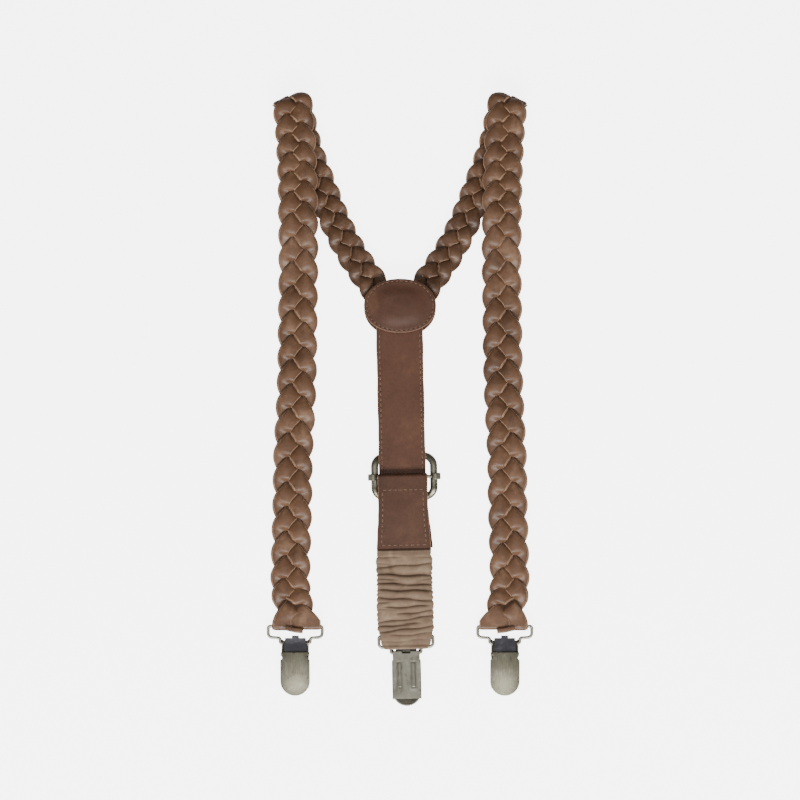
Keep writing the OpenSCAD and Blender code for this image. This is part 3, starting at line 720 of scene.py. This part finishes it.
def make_braids():
    line = BraidLine()
    heights = pressed_heights()
    for side_name, side in SIDES.items():
        for index in range(3):
            strand = Strand(line, heights, index, side)
            cuts = []
            # Near the fold the strand is cut into pieces where another one covers it.
            for near in (line.fold[0] - 7, line.fold[1] + 9):
                s = np.linspace(near - 11, near + 11, 441)
                off = np.abs((strand.phase(s) - COVERED_PHASE + 90) % 180 - 90) + 0.5 * np.abs(s - near)
                cuts.append(s[np.argmin(off)])
            pieces = (
                ("rear", -6.0, cuts[0], "back", False),
                ("bend", cuts[0], cuts[1], None, False),
                ("front", cuts[1], line.end + 6.5, f"{side_name}_front", True),
            )
            for part, start, end, body, wrap in pieces:
                label = f"{side_name}_{part}_strip_{index + 1}"
                piece = mesh_piece(label, strand.mesh(start, end, wrap), "braid", "edge")
                if part == "bend":
                    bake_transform(piece)
                    if index == 0:
                        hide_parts(f"{side_name}_shoulder_bend")
                else:
                    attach(piece, body)
                    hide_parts(f"{side_name}_{part}_strand_{index + 1}")
                    if part == "front" and index == 0:
                        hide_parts(f"{side_name}_end_loops")
        tail = mesh_piece(f"{side_name}_strip_tail", strip_tail(side), "braid", "edge")
        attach(tail, f"{side_name}_front")


def strip_tail(side):
    """The folded strip whose end lies across the foot of the two outer bands."""
    start, end = np.array([-62.4, -124.9]), np.array([-52.9, -126.6])
    along = unit(end - start)
    across = np.array([-along[1], along[0]])
    half = [(1.1, 0), (1.15, 0.2), (1.0, 0.4), (0.4, 0.45)]
    section = [(-place, lift) for place, lift in half] + half[::-1]
    rows, columns = 16, len(section)
    parts = []
    for height, slip in ((5.25, 0.0), (5.71, 0.3)):
        points = []
        for share in np.linspace(0, 1, rows):
            hump = 0.25 * math.sin(math.pi * share)
            middle = start + (end - start) * share + across * (slip - hump)
            for place, lift in section:
                x, y = middle + across * place
                points.append((side * x, y, height + hump + lift))
        faces = grid_faces(rows, columns) + end_caps(rows, columns)
        marks = [1, 1, 0, 0, 0, 1, 1, 0] * (rows - 1) + [1, 1]
        parts.append((points, flipped(faces) if side > 0 else faces, marks))
    return joined(parts)


# ---------------------------------------------------------------- the back strap and what hangs on it
YOKE_X, YOKE_Y, BACK_LEAN = -0.6, 50.8, math.radians(1.2)
YOKE_W, YOKE_H, YOKE_POWER = 39.3, 29.3, 2.15
ADJUSTER_Y, BAR_Z = -93.2, 6.025


def on_back(points):
    """From the back strap's frame, with y up the strap from the yoke's centre, to the row frame."""
    p = np.asarray(points, float)
    c, s = math.cos(BACK_LEAN), math.sin(BACK_LEAN)
    x, y, z = p[..., 0], p[..., 1], p[..., 2]
    return np.stack([YOKE_X + c * x - s * y, YOKE_Y + s * x + c * y, z], -1)


def stitches(seams, pitch, length, thick, hole=0.34):
    """Thread and needle holes along seams. A seam is a row of points with the surface's normals."""
    sides, rings = 8, 7
    parts = []
    around = full_turn(sides)
    cos, sin = np.cos(around)[:, None], np.sin(around)[:, None]
    along = np.linspace(0, 1, rings)
    hump = np.sin(np.pi * along)[:, None]
    for path, normals in seams:
        path, normals = np.asarray(path, float), unit(np.asarray(normals, float))
        s = distances(path)
        count = max(1, int(round((s[-1] - length) / pitch)))
        for start in np.arange(count + 1) * (s[-1] - length) / count:
            places = start + along * length
            middle = np.stack([np.interp(places, s, path[:, k]) for k in range(3)], -1)
            up = unit(np.stack([np.interp(places, s, normals[:, k]) for k in range(3)], -1))
            ahead = unit(middle[-1] - middle[0])
            across = unit(np.cross(up, ahead))
            middle = middle + up * thick * (1.1 * hump - 0.75)
            radius = thick * (0.45 + 0.75 * hump**0.6)
            ring = cos * across[:, None, :] * 1.25 + sin * up[:, None, :]
            points = (middle[:, None, :] + ring * radius[:, None]).reshape(-1, 3)
            parts.append((points, grid_faces(rings, sides) + flipped(end_caps(rings, sides)), 0))
            # At each end of a stitch a near-black dot lies on the surface: painted shade inside the needle hole.
            for end, way in ((0, -1), (-1, 1)):
                centre = middle[end] + ahead * way * 0.28 + up[end] * thick * 0.72
                rim = (cos * across[end] * 0.85 + sin * ahead) * hole
                dot = np.concatenate([centre + rim, centre + rim * 0.5 + up[end] * 0.06])
                parts.append((dot, grid_faces(2, sides) + [list(range(sides, 2 * sides))], 1))
    return joined(parts)


def strip(path, normals, halves, thick, shift=0.0, *, ripple, columns=23, groove=None, edge=0.35, tone=0.5):
    """A flat leather strip that follows a path of (y, z) points in the strap's frame.

    normals are (y, z) directions of its outer face and halves its half widths. groove is the distance
    from each edge where a seam pulls the face down, and ripple gives the face's rise at (x, y).
    """
    path, normals = np.asarray(path, float), np.asarray(normals, float)
    rows = len(path)
    halves = np.broadcast_to(halves, rows)[:, None]
    share = np.sin(np.linspace(-np.pi / 2, np.pi / 2, columns))
    x = share * (halves - edge)
    height = np.full_like(x, thick / 2)
    if groove:
        for way in (-1, 1):
            height -= 0.16 * np.exp(-(((x - way * (halves - groove)) / 0.55) ** 2))
    height -= 0.10 * np.exp(-(((halves - edge - np.abs(x)) / 0.5) ** 2))
    height += ripple(x, path[:, :1])
    side = halves + np.array([-0.12, 0.0, -0.05])
    across = np.concatenate([-side, x, side[:, ::-1]], axis=1)
    side = np.tile([-thick / 2, 0.12 - thick / 2, 0.075 * thick], (rows, 1))
    outward = np.concatenate([side, height, side[:, ::-1]], axis=1)
    total = across.shape[1]
    points = np.zeros((rows, total, 3))
    points[..., 0] = across + np.broadcast_to(shift, rows)[:, None]
    points[..., 1:] = path[:, None, :] + outward[..., None] * normals[:, None, :]
    cut = np.zeros(total, int)
    cut[:3] = 1
    cut[-4:-1] = 1
    marks = np.concatenate([np.tile(cut, rows - 1), [1, 1]])
    near_edge = np.minimum(halves - np.abs(across), 3.0) / 3.0
    wear_and_shade = tone - 0.06 * (1 - np.clip(near_edge, 0, 1))
    faces = flipped(grid_faces(rows, total) + end_caps(rows, total))
    return on_back(points).reshape(-1, 3), faces, marks, wear_and_shade.reshape(-1)


def oval_disc(centre, radii, rings, tilt=None):
    """A leather disc as rings of (share of the radius, height, cut); tilt gives a further rise."""
    columns = 120
    x, y = squared_turn(full_turn(columns), YOKE_POWER)
    share, height, cut = np.asarray(rings, float).T[:, :, None]
    points = np.stack([share * radii[0] * x, share * radii[1] * y, height + 0 * x], -1)
    if tilt:
        points[..., 2] += tilt(points[..., 0], points[..., 1], share)
    cut = cut[:, 0].astype(int)
    marks = np.concatenate([np.repeat(np.minimum(cut[1:], cut[:-1]), columns), [0, 0]])
    faces = grid_faces(len(rings), columns) + flipped(end_caps(len(rings), columns))
    wear_and_shade = np.repeat(0.37 + 0.05 * np.clip((1 - share[:, 0]) / 0.2, 0, 1), columns)
    return (points + centre).reshape(-1, 3), faces, marks, wear_and_shade


def make_yoke():
    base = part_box("yoke_front_disc")[0].z / MM
    low_pad, pad_rise, crown, seam_share = 1.22, 1.38, 0.2, 0.915
    profile = [(0.93, 0.0, 0), (0.975, 0.05, 1), (1.0, 0.3, 1), (1.0, 0.72, 1), (0.985, 1.02, 1), (0.965, 1.16, 0)]
    for share in np.linspace(0.94, 0.02, 36):
        height = low_pad + pad_rise * ramp(0.87 - share, 0.0, 0.5) + crown * ramp(0.5 - share, 0, 0.5)
        height -= 0.20 * math.exp(-(((share - seam_share) / 0.022) ** 2))
        profile.append((share, height, 0))

    def lumps(x, y, share):
        soft = np.clip((1 - share) / 0.3, 0, 1)
        return soft * (0.10 * np.sin(x * 0.31 + 0.8) * np.cos(y * 0.37) + 0.07 * np.sin(x * 0.17 - y * 0.23))

    radii = (YOKE_W / 2, YOKE_H / 2)
    front = mesh_piece("yoke_cover", oval_disc((0, YOKE_Y, base), radii, profile, lumps), "strap", "strap_edge")
    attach(front, "back")
    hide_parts("yoke_front_disc")

    x, y = squared_turn(np.linspace(0, 2 * np.pi, 200), YOKE_POWER)
    x, y = x * seam_share * radii[0], y * seam_share * radii[1]
    seam = np.stack([x, YOKE_Y + y, np.full_like(x, base + 1.06)], -1)
    normals = np.tile([0, 0, 1.0], (len(seam), 1))
    sewing = stitches([(seam, normals)], pitch=2.6, length=1.7, thick=0.14, hole=0.2)
    piece = mesh_piece("yoke_stitches", sewing, "thread", "hole")
    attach(piece, "back")

    low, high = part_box("yoke_rear_disc")
    centre, size = (low + high) / 2 / MM, (high - low) / MM
    profile = [(s, 0.1 * ramp(s, 0.85, 1.0), 0) for s in np.linspace(0.02, 0.95, 20)]
    profile += [(0.98, 0.16, 1), (1.0, 0.4, 1), (1.0, size.z - 0.4, 1), (0.985, size.z - 0.12, 1)]
    profile += [(s, size.z - 0.05 * s, 0) for s in np.linspace(0.95, 0.02, 14)]
    disc = oval_disc((centre.x, centre.y, low.z / MM), (size.x / 2, size.y / 2), profile)
    rear = mesh_piece("yoke_backing", disc, "strap", "strap_edge")
    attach(rear, "back")
    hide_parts("yoke_rear_disc")

    low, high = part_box("yoke_filler")
    size = (high - low) / MM
    profile = [(0.9, 0.0, 0), (1.0, 0.2, 0), (1.0, 0.9, 0), (0.9, 1.1, 0), (0.5, 1.1, 0), (0.02, 1.1, 0)]
    disc = oval_disc((0, YOKE_Y, low.z / MM), (size.x / 2, size.y / 2), profile)
    filler = mesh_piece("yoke_board", disc, "board")
    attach(filler, "back")
    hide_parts("yoke_filler")


STRAP_HALF, STRAP_TOP, STRAP_END, STRAP_LAYER = 12.75, -6.0, -148.8, 0.75
SEAM_INSET = 1.75


def make_back_strap():
    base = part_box("back_strap_rear_layer")[0].z / MM
    ys = np.linspace(STRAP_TOP, STRAP_END, 190)

    def ripple(x, y):
        waves = 0.05 * np.sin(y * 0.11 + 0.4) * np.cos(x * 0.2)
        return waves + 0.02 * np.sin(y * 0.9) * np.exp(-((np.abs(x) - 10.7) ** 2))

    for name, height, face, narrower, node in (
        ("strap_lining", base + STRAP_LAYER / 2, -1.0, 0.12, "back_strap_rear_layer"),
        ("strap_face", base + 1.5 * STRAP_LAYER, 1.0, 0.0, "back_strap_front_layer"),
    ):
        path = np.stack([ys, np.full_like(ys, height)], -1)
        halves = STRAP_HALF + 0.09 * np.sin(ys * 0.21) + 0.05 * np.sin(ys * 0.53 + 1) - narrower
        points, faces, marks, wear_and_shade = strip(
            path, np.tile([0.0, face], (len(ys), 1)), halves, STRAP_LAYER, groove=SEAM_INSET, edge=0.3, ripple=ripple
        )
        form = (points, flipped(faces) if face < 0 else faces, marks, wear_and_shade)
        piece = mesh_piece(name, form, "strap", "strap_edge")
        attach(piece, "back")
        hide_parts(node)
    seams = []
    line = np.linspace(STRAP_TOP - 9, STRAP_END + 1.5, 80)
    for way in (-1, 1):
        x = way * (STRAP_HALF - SEAM_INSET)
        for z, up in ((base + 2 * STRAP_LAYER - 0.12, 1.0), (base + 0.12, -1.0)):
            seams.append(seam_line(np.full_like(line, x), line, z, up))
    piece = mesh_piece("strap_stitches", stitches(seams, pitch=2.9, length=2.3, thick=0.16), "thread", "hole")
    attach(piece, "back")


def seam_line(x, y, z, up=1.0):
    """A seam for stitches, through points in the strap's frame."""
    points = np.stack(np.broadcast_arrays(x, y, z), -1)
    return on_back(points), np.tile([0, 0, up], (len(points), 1))


TAB_LENGTH, TAB_TOP_HALF, TAB_LOW_HALF, TAB_LEATHER = 39.4, 13.55, 14.8, 0.8
TAB_RADIUS, TAB_BEND = 1.825 - TAB_LEATHER / 2, 1.45


def tab_half(drop):
    return TAB_TOP_HALF + (TAB_LOW_HALF - TAB_TOP_HALF) * ramp(drop, 15, 41)


def tab_swell(drop):
    return 0.28 * np.sin(np.pi * np.clip(drop / TAB_LENGTH, 0, 1)) ** 2 - 0.15


def make_tab():
    drops = np.linspace(TAB_LENGTH, 0, 60)
    turn = np.radians(np.linspace(90, -90, 15)[1:-1])
    front = np.stack([-drops, np.full_like(drops, TAB_RADIUS)], -1)
    bend = np.stack([TAB_BEND * np.cos(turn), TAB_RADIUS * np.sin(turn)], -1)
    rear = front[::-1] * [0.985, -1]
    path = np.concatenate([front, bend, rear])
    normals = np.concatenate([0 * front + [0, 1], np.stack([np.cos(turn), np.sin(turn)], -1), 0 * rear - [0, 1]])
    drop = np.clip(-path[:, 0], 0, None)
    is_rear = np.arange(len(path)) >= len(front) + len(bend)
    halves = tab_half(drop) + 0.06 * np.sin(drop * 0.7)
    shift = np.where(is_rear, 0.95 * ramp(drop, 12, TAB_LENGTH), 0.0)
    path[:, 1] += np.where(is_rear, 0, tab_swell(drop))
    path += [ADJUSTER_Y, BAR_Z]
    form = strip(
        path, normals, halves, TAB_LEATHER, shift, groove=2.6, edge=0.4, tone=0.375,
        ripple=lambda x, y: 0.07 * np.sin(y * 0.16 + 1.0) * np.cos(x * 0.21 + 0.3),
    )
    piece = mesh_piece("tab_leather", form, "strap", "strap_edge")
    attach(piece, "tab")
    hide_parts("adjuster_tab")

    top, bottom, inset = 6.9, 37.0, 2.5
    face = BAR_Z + TAB_RADIUS + TAB_LEATHER / 2 - 0.2
    seams = []
    for d in (top, bottom):
        x = np.linspace(-tab_half(d) + inset, tab_half(d) - inset, 30)
        seams.append(seam_line(x, ADJUSTER_Y - d, face + tab_swell(d) + 0.1))
    d = np.linspace(top + 1, bottom - 1, 40)
    for way in (-1, 1):
        seams.append(seam_line(way * (tab_half(d) - inset), ADJUSTER_Y - d, face + tab_swell(d)))
    piece = mesh_piece("tab_stitches", stitches(seams, pitch=3.0, length=2.4, thick=0.17), "thread", "hole")
    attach(piece, "tab")


# Creases across the sleeve: distance from its top at the left and right edge, depth, and the x
# between which each runs.
CREASES = [
    (4.2, 5.2, 0.5, -16, -3), (5.0, 4.6, 0.35, 7, 16), (7.6, 8.6, 0.4, -16, -8), (9.8, 7.9, 0.75, -16, 16),
    (13.3, 14.6, 1.3, -16, 16), (16.1, 16.3, 0.7, -16, -5), (17.6, 16.4, 0.4, 8, 16), (18.3, 19.6, 1.15, -16, 16),
    (21.8, 22.8, 1.1, -16, 16), (26.0, 28.3, 1.0, -16, 16), (28.9, 28.8, 0.6, -16, -9), (31.6, 30.9, 0.85, -11, 13),
    (32.6, 31.9, 0.4, -16, -10), (36.6, 33.4, 0.8, -4, 16), (39.8, 36.4, 0.85, -16, 16), (41.8, 40.0, 0.9, -16, 7),
    (45.0, 42.0, 0.7, -16, 16), (47.2, 45.6, 0.45, -8, 16), (50.2, 49.0, 0.25, -16, 16),
]
SLEEVE_HALF, SLEEVE_THICK, SLEEVE_LENGTH, SLEEVE_CUT_WIDTH = 15.35, 5.0, 55.4, 0.073


def sleeve_crease(x, y, side):
    """How far the cloth is pulled in at places x across and y down from the sleeve's top."""
    pulled = np.zeros(np.broadcast(x, y).shape)
    for index, (left, right, depth, start, end) in enumerate(CREASES):
        if side < 0:
            left, right, start, end = right + 0.9, left - 0.7, -end, -start
        centre = left + (right - left) * (x + SLEEVE_HALF) / (2 * SLEEVE_HALF)
        centre = centre + 0.45 * np.sin(x * 0.31 + 1.9 * index) * (1 - (x / SLEEVE_HALF) ** 2)
        gate = ramp(x, start - 3, start + 3) * (1 - ramp(x, end - 3, end + 3))
        breadth = 0.42 + 0.3 * depth
        reach = np.abs(y - centre) / breadth
        pulled = pulled + gate * depth * (np.exp(-(reach**1.15)) + 0.3 * np.exp(-((reach / 3) ** 2)))
    return pulled


def rounding(left, reach, power):
    """From 0 at the sleeve's end to 1 at a given reach from it."""
    return np.sqrt(np.clip(1 - np.clip(1 - left / reach, 0, 1) ** power, 0, 1))


def make_sleeve():
    length, tucked = SLEEVE_LENGTH, 1.2
    top = ADJUSTER_Y - TAB_LENGTH + tucked
    rows, columns = 250, 96
    down = np.linspace(0, length, rows)[:, None]
    x0, z0 = squared_turn(full_turn(columns)[None, :], 3.2)
    close, corner = rounding(length - down, 2.6, 2), rounding(length - down, 6.5, 1.6)
    half = SLEEVE_HALF * (0.72 + 0.28 * corner) * (0.9 + 0.035 * ramp(down, 0.4, 1.4) + 0.065 * ramp(down, 2, 9))
    half = half * (1 - 0.1 * ramp(down, length - 11.5, length - 6.5))
    x, y = x0 * half, down + 0 * x0
    top_pull, low_pull = (sleeve_crease(x, y - 0.8, face) for face in (1, -1))
    upper = ramp((z0 + 1) / 2, 0.25, 0.75)
    pull = top_pull * upper + low_pull * (1 - upper)
    # The creases nick the sides, and the cloth between them puffs out.
    puff = 0.45 + 0.15 * (0.35 * np.sin(down * 1.05 + 0.6) + 0.2 * np.sin(down * 2.3))
    x = x - np.sign(x) * np.abs(x0) ** 6 * (np.minimum(np.maximum(top_pull, low_pull), 1.3) - puff)
    front = 0.04 + 0.6 * ramp(down, 0.9, 1.9) + 0.36 * ramp(down, 1, 5)
    half_thick = SLEEVE_THICK / 2 * np.where(z0 > 0, front, 0.86 + 0.14 * ramp(down, 1, 3)) * close
    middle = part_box("gathered_sleeve")[0].z / MM + SLEEVE_THICK / 2 + 0.25 + 0.5 * ramp(down, 42, 50)
    # Its end lips up over the wire, clear of the clip as that swings.
    middle = middle + 1.3 * ramp(down, length - 2.7, length - 0.5)
    z = middle + z0 * half_thick * (1 - 0.06 * (x / SLEEVE_HALF) ** 2)
    # Behind, the cloth stops short of the webbing however deep the crease.
    sunk = np.where(z0 > 0, 1.1 * pull * ramp(down, 1, 3), 0.55 * (1 - np.exp(-pull)))
    z = np.maximum(z - z0 * sunk * close, 0.3)
    points = on_back(np.stack([x, top - y, z], -1)).reshape(-1, 3)
    # Painted shade in the creases: the cloth darkens where it is pulled in.
    wear_and_shade = (0.62 - 0.43 * np.clip(pull, 0, 1.1)).reshape(-1)
    piece = mesh_piece("sleeve_cloth", (points, grid_faces(rows, columns), None, wear_and_shade), "sleeve")
    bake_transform(piece)
    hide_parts("gathered_sleeve")


def make_elastic():
    half, thick, rib = 11.4, 1.2, 1.3
    ys = np.linspace(ADJUSTER_Y - 10.2, -177.6, 150)
    form = strip(
        np.stack([ys, np.full_like(ys, BAR_Z)], -1), np.tile([0.0, 1.0], (len(ys), 1)), half, thick, columns=90,
        ripple=lambda x, y: 0.12 * np.cos(x * 2 * np.pi / rib),
    )
    piece = mesh_piece("elastic_webbing", form, "elastic")
    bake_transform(piece)
    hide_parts("elastic_core")


REAR_AXIS_Y, REAR_Z = -179.9, 5.8


def make_end_fold():
    """The sleeve's end, turned round the rear clip's loop."""
    bore, half, thick, tail = 0.87, 13.2, 0.72, 2.6
    radius = bore + thick / 2
    turn = np.radians(np.linspace(80, 280, 22))
    normals = np.stack([np.cos(turn), np.sin(turn)], -1)
    rise = [(tail, radius), (1.2, radius)]
    path = np.concatenate([rise, radius * normals, rise[::-1] * np.array([1, -1])])
    normals = np.concatenate([[(0, 1)] * 2, normals, [(0, -1)] * 2])
    points, faces, marks, wear_and_shade = strip(
        path + [REAR_AXIS_Y, REAR_Z], normals, half, thick, columns=60,
        ripple=lambda x, y: 0.05 * np.sin(x * 1.9) + 0.04 * np.sin(x * 0.7 + 1),
    )
    piece = mesh_piece("sleeve_end_fold", (points, faces, marks, wear_and_shade * 0.9), "sleeve")
    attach(piece, "elastic_end")
    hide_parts("elastic_end_fold")


# ---------------------------------------------------------------- metal parts
def lathe(profile, sides):
    """Points and faces of a turned shape: profile is (radius, height) from one end to the other."""
    profile = np.asarray(profile, float)
    turn = full_turn(sides)
    points = np.stack([profile[:, :1] * np.cos(turn), profile[:, :1] * np.sin(turn), profile[:, 1:] + 0 * turn], -1)
    return points.reshape(-1, 3), grid_faces(len(profile), sides)


FRAME_HALF_WIRE, FRAME_WIRE, FRAME_RISE, FRAME_CORNER = 2.0, 1.2, 2.2, 5.5
FRAME_RX, FRAME_RY, FRAME_SHIFT = 16.1, 11.2, 1.0
BAR_WIRE, WIRE_STEP = 0.9, 0.35


def make_adjuster():
    outline = []
    flat_x, flat_y = FRAME_RX - FRAME_CORNER, FRAME_RY - FRAME_CORNER
    for quarter in range(4):
        sx = 1 if quarter in (0, 3) else -1
        sy = 1 if quarter < 2 else -1
        outline += arc_points((sx * flat_x, sy * flat_y), FRAME_CORNER, 90 * quarter, 90 * quarter + 90, 12)
        if quarter % 2 == 0:
            outline += [[sx * share * flat_x, sy * FRAME_RY] for share in (0.7, 0.35, 0, -0.35, -0.7)]
        else:
            outline += [[sx * FRAME_RX, sy * share * flat_y] for share in (0.75, 0.5, 0.25, 0, -0.25, -0.5, -0.75)]
    outline = np.array(outline)
    share = np.clip(np.abs(outline[:, 1]) / (FRAME_RY - 0.4), 0, 1)
    height = FRAME_WIRE + FRAME_RISE * (1 - share**4)
    path = np.column_stack([outline + [FRAME_SHIFT, ADJUSTER_Y], height])
    path = on_back(smooth_curve(path, WIRE_STEP, closed=True))
    wire = tube(path, FRAME_HALF_WIRE, 20, closed=True, squash=FRAME_WIRE / FRAME_HALF_WIRE)
    piece = mesh_piece("adjuster_ring", wire, "ring")
    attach(piece, "adjuster")
    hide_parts("adjuster_frame")

    reach, bend = FRAME_RX - 1.2, FRAME_RX - 4
    bar = [(x + FRAME_SHIFT, ADJUSTER_Y, BAR_Z) for x in (-reach, -bend, 0, bend, reach)]
    parts = [(*tube(on_back(smooth_curve(bar, WIRE_STEP)), BAR_WIRE, 18), 0)]
    inner, outer, half, round_edge, crown = 1.45, 2.8, 1.75, 0.38, 0.06
    rim, shoulder = outer - round_edge, half - round_edge
    profile = [(inner, -half + 0.1), (inner + 0.15, -half), (rim, -half)]
    for a in np.linspace(0.3, math.pi / 2, 5):
        profile.append((rim + round_edge * math.sin(a), -shoulder - round_edge * math.cos(a)))
    profile += [(outer + crown, -half * 0.4), (outer + crown, half * 0.4)]
    for a in np.linspace(0, math.pi / 2 - 0.3, 5):
        profile.append((rim + round_edge * math.cos(a), shoulder + round_edge * math.sin(a)))
    profile += [(rim, half), (inner + 0.15, half), (inner, half - 0.1), (inner, -half + 0.1)]
    ring, faces = lathe(profile, 36)
    for way in (-1, 1):
        middle = [way * (FRAME_RX + 0.9) + FRAME_SHIFT, ADJUSTER_Y, FRAME_WIRE + FRAME_RISE]
        parts.append((on_back(ring[:, [0, 2, 1]] + middle), flipped(faces), 0))
    piece = mesh_piece("adjuster_crossbar", joined(parts), "ring")
    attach(piece, "bar")
    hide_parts("adjuster_bar")


LOOP_W, LOOP_WIRE, LOOP_H, PLATE_W, EAR_T = 31.0, 0.75, 9.2, 14.7, 0.6
CLIP_X, CLIP_Y, CLIP_Z = 57.2, -133.2, 3.0
def loop_path():
    """Centre line of a clip's wire loop in the clip's frame: pivot at the origin, loop towards +y."""
    out = LOOP_W / 2 - LOOP_WIRE
    foot = PLATE_W / 2 + 0.1 + LOOP_WIRE
    half = [(PLATE_W / 2 - EAR_T - 0.3, 0.0)]
    half += arc_points((foot - 0.95, 0.95), 0.95, -90, 0, 6)
    half += arc_points((foot + 1.1, 1.7), 1.1, 180, 95, 6)
    half += [(11.5, 3.0)]
    half += arc_points((out - 2.3, 5.4), 2.3, -80, 0, 7)
    half += [(out, LOOP_H - 1.3)]
    half += arc_points((out - 1.1, LOOP_H - 1.1), 1.1, 20, 90, 5)
    half += [(8.0, LOOP_H), (2.7, LOOP_H)]
    return [(x, y, 0.0) for x, y in half] + [(-x, y, 0.0) for x, y in half[::-1]]


def place_clip(name, points):
    """From a clip's own frame to the row frame."""
    p = np.asarray(points, float)
    if name == "rear":
        return on_back(p * [-1, 1, -1] + [0, REAR_AXIS_Y - LOOP_H, REAR_Z])
    return p + [-SIDES[name] * CLIP_X, CLIP_Y, CLIP_Z]


def plate_face(name, half_w, high):
    """The outer face of a clip's plate, pressed over its sides, with two long pressed grooves."""
    low, top, sheet, edge_radius, notch_depth = -24.75, -3.02, 0.62, 0.55, 0.55
    share_x, share_y = (np.sin(np.linspace(-np.pi / 2, np.pi / 2, count)) for count in (67, 121))
    x, y = np.meshgrid(half_w * share_x, (low + high) / 2 + (high - low) / 2 * share_y)
    rim = np.minimum((half_w - np.abs(x)), np.minimum(y - low, high - y))
    drop = 0.75 * (1 - np.sqrt(np.clip(1 - np.clip(1 - rim / edge_radius, 0, 1) ** 2, 0, 1)))
    groove = np.zeros_like(x)
    for way in (-1, 1):
        reach = np.maximum(np.abs(x - way * 3.85) - 1.1, np.abs(y + 11.6) - 6.9)
        groove += 0.42 * np.exp(-((reach / 0.3) ** 2)) + 0.16 * (reach < -0.2)
    notch = (np.abs(x) < 2.35) & (y > high - 1.3)
    x = x * (1 - 0.085 * ramp(y, -4.4, -2.6))
    outer = np.stack([x, y, top + drop + groove + notch_depth * notch], -1)
    inner = np.stack([x * 0.985, y * 0.995, top + sheet + 0.2 * (drop > 0.6)], -1)
    rows, columns = x.shape
    count = rows * columns
    points = np.concatenate([outer.reshape(-1, 3), inner.reshape(-1, 3)])
    faces = grid_faces(rows, columns, wrap_columns=False)
    faces += flipped(grid_faces(rows, columns, wrap_columns=False, first=count))
    index = np.arange(count).reshape(rows, columns)
    rim_loop = np.concatenate([index[0], index[1:, -1], index[-1, -2::-1], index[-2:0:-1, 0]])
    for a, b in zip(rim_loop, np.roll(rim_loop, -1)):
        faces.append([a + count, b + count, b, a])
    # Painted shade in the pressed grooves and the notch: a lower wear-and-shade value darkens them.
    groove_shade = 0.6 * np.clip(groove, 0, 0.42) + 0.45 * notch
    wear_and_shade = np.concatenate([(0.5 - groove_shade).reshape(-1), np.full(count, 0.5)])
    return place_clip(name, points), flipped(faces) if name == "rear" else faces, None, wear_and_shade


CLIP_LOOKS = {
    "base_plate": ("brass", 0.14), "lever": ("brass", 0.16), "lever_pin": ("brass", 0.1),
    "jaw": ("steel", 0.12), "jaw_pad": ("pad", 0.2), "base_pad": ("pad", 0.2),
}


def make_clips():
    for name in ("left", "right", "rear"):
        wire = tube(place_clip(name, smooth_curve(loop_path(), 0.3)), LOOP_WIRE + 0.1, 16)
        piece = mesh_piece(f"{name}_loop_wire", wire, "brass_wire")
        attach(piece, f"{name}_loop")
        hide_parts(f"{name}_wire_loop")
        half_w, high = (7.9, 1.5) if name == "rear" else (7.0, 0.6)
        piece = mesh_piece(f"{name}_plate_face", plate_face(name, half_w, high), "plate")
        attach(piece, f"{name}_clip")
        for part, (look, width) in CLIP_LOOKS.items():
            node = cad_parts[f"{name}_{part}"]
            for slot in node.material_slots:
                # The rear lever takes the paler brass copy, which is painted light.
                slot.material = MATERIALS["rear_dome_painted_light" if (name, part) == ("rear", "lever") else look]
            bevel = node.modifiers.new("rounded", "BEVEL")
            bevel.width = width * MM
            bevel.segments = 2
            bevel.limit_method = "ANGLE"
            bevel.angle_limit = math.radians(35)
            bevel.harden_normals = True


set_stage()
make_materials()
make_braids()
make_yoke()
make_back_strap()
make_tab()
make_elastic()
make_sleeve()
make_end_fold()
make_adjuster()
make_clips()
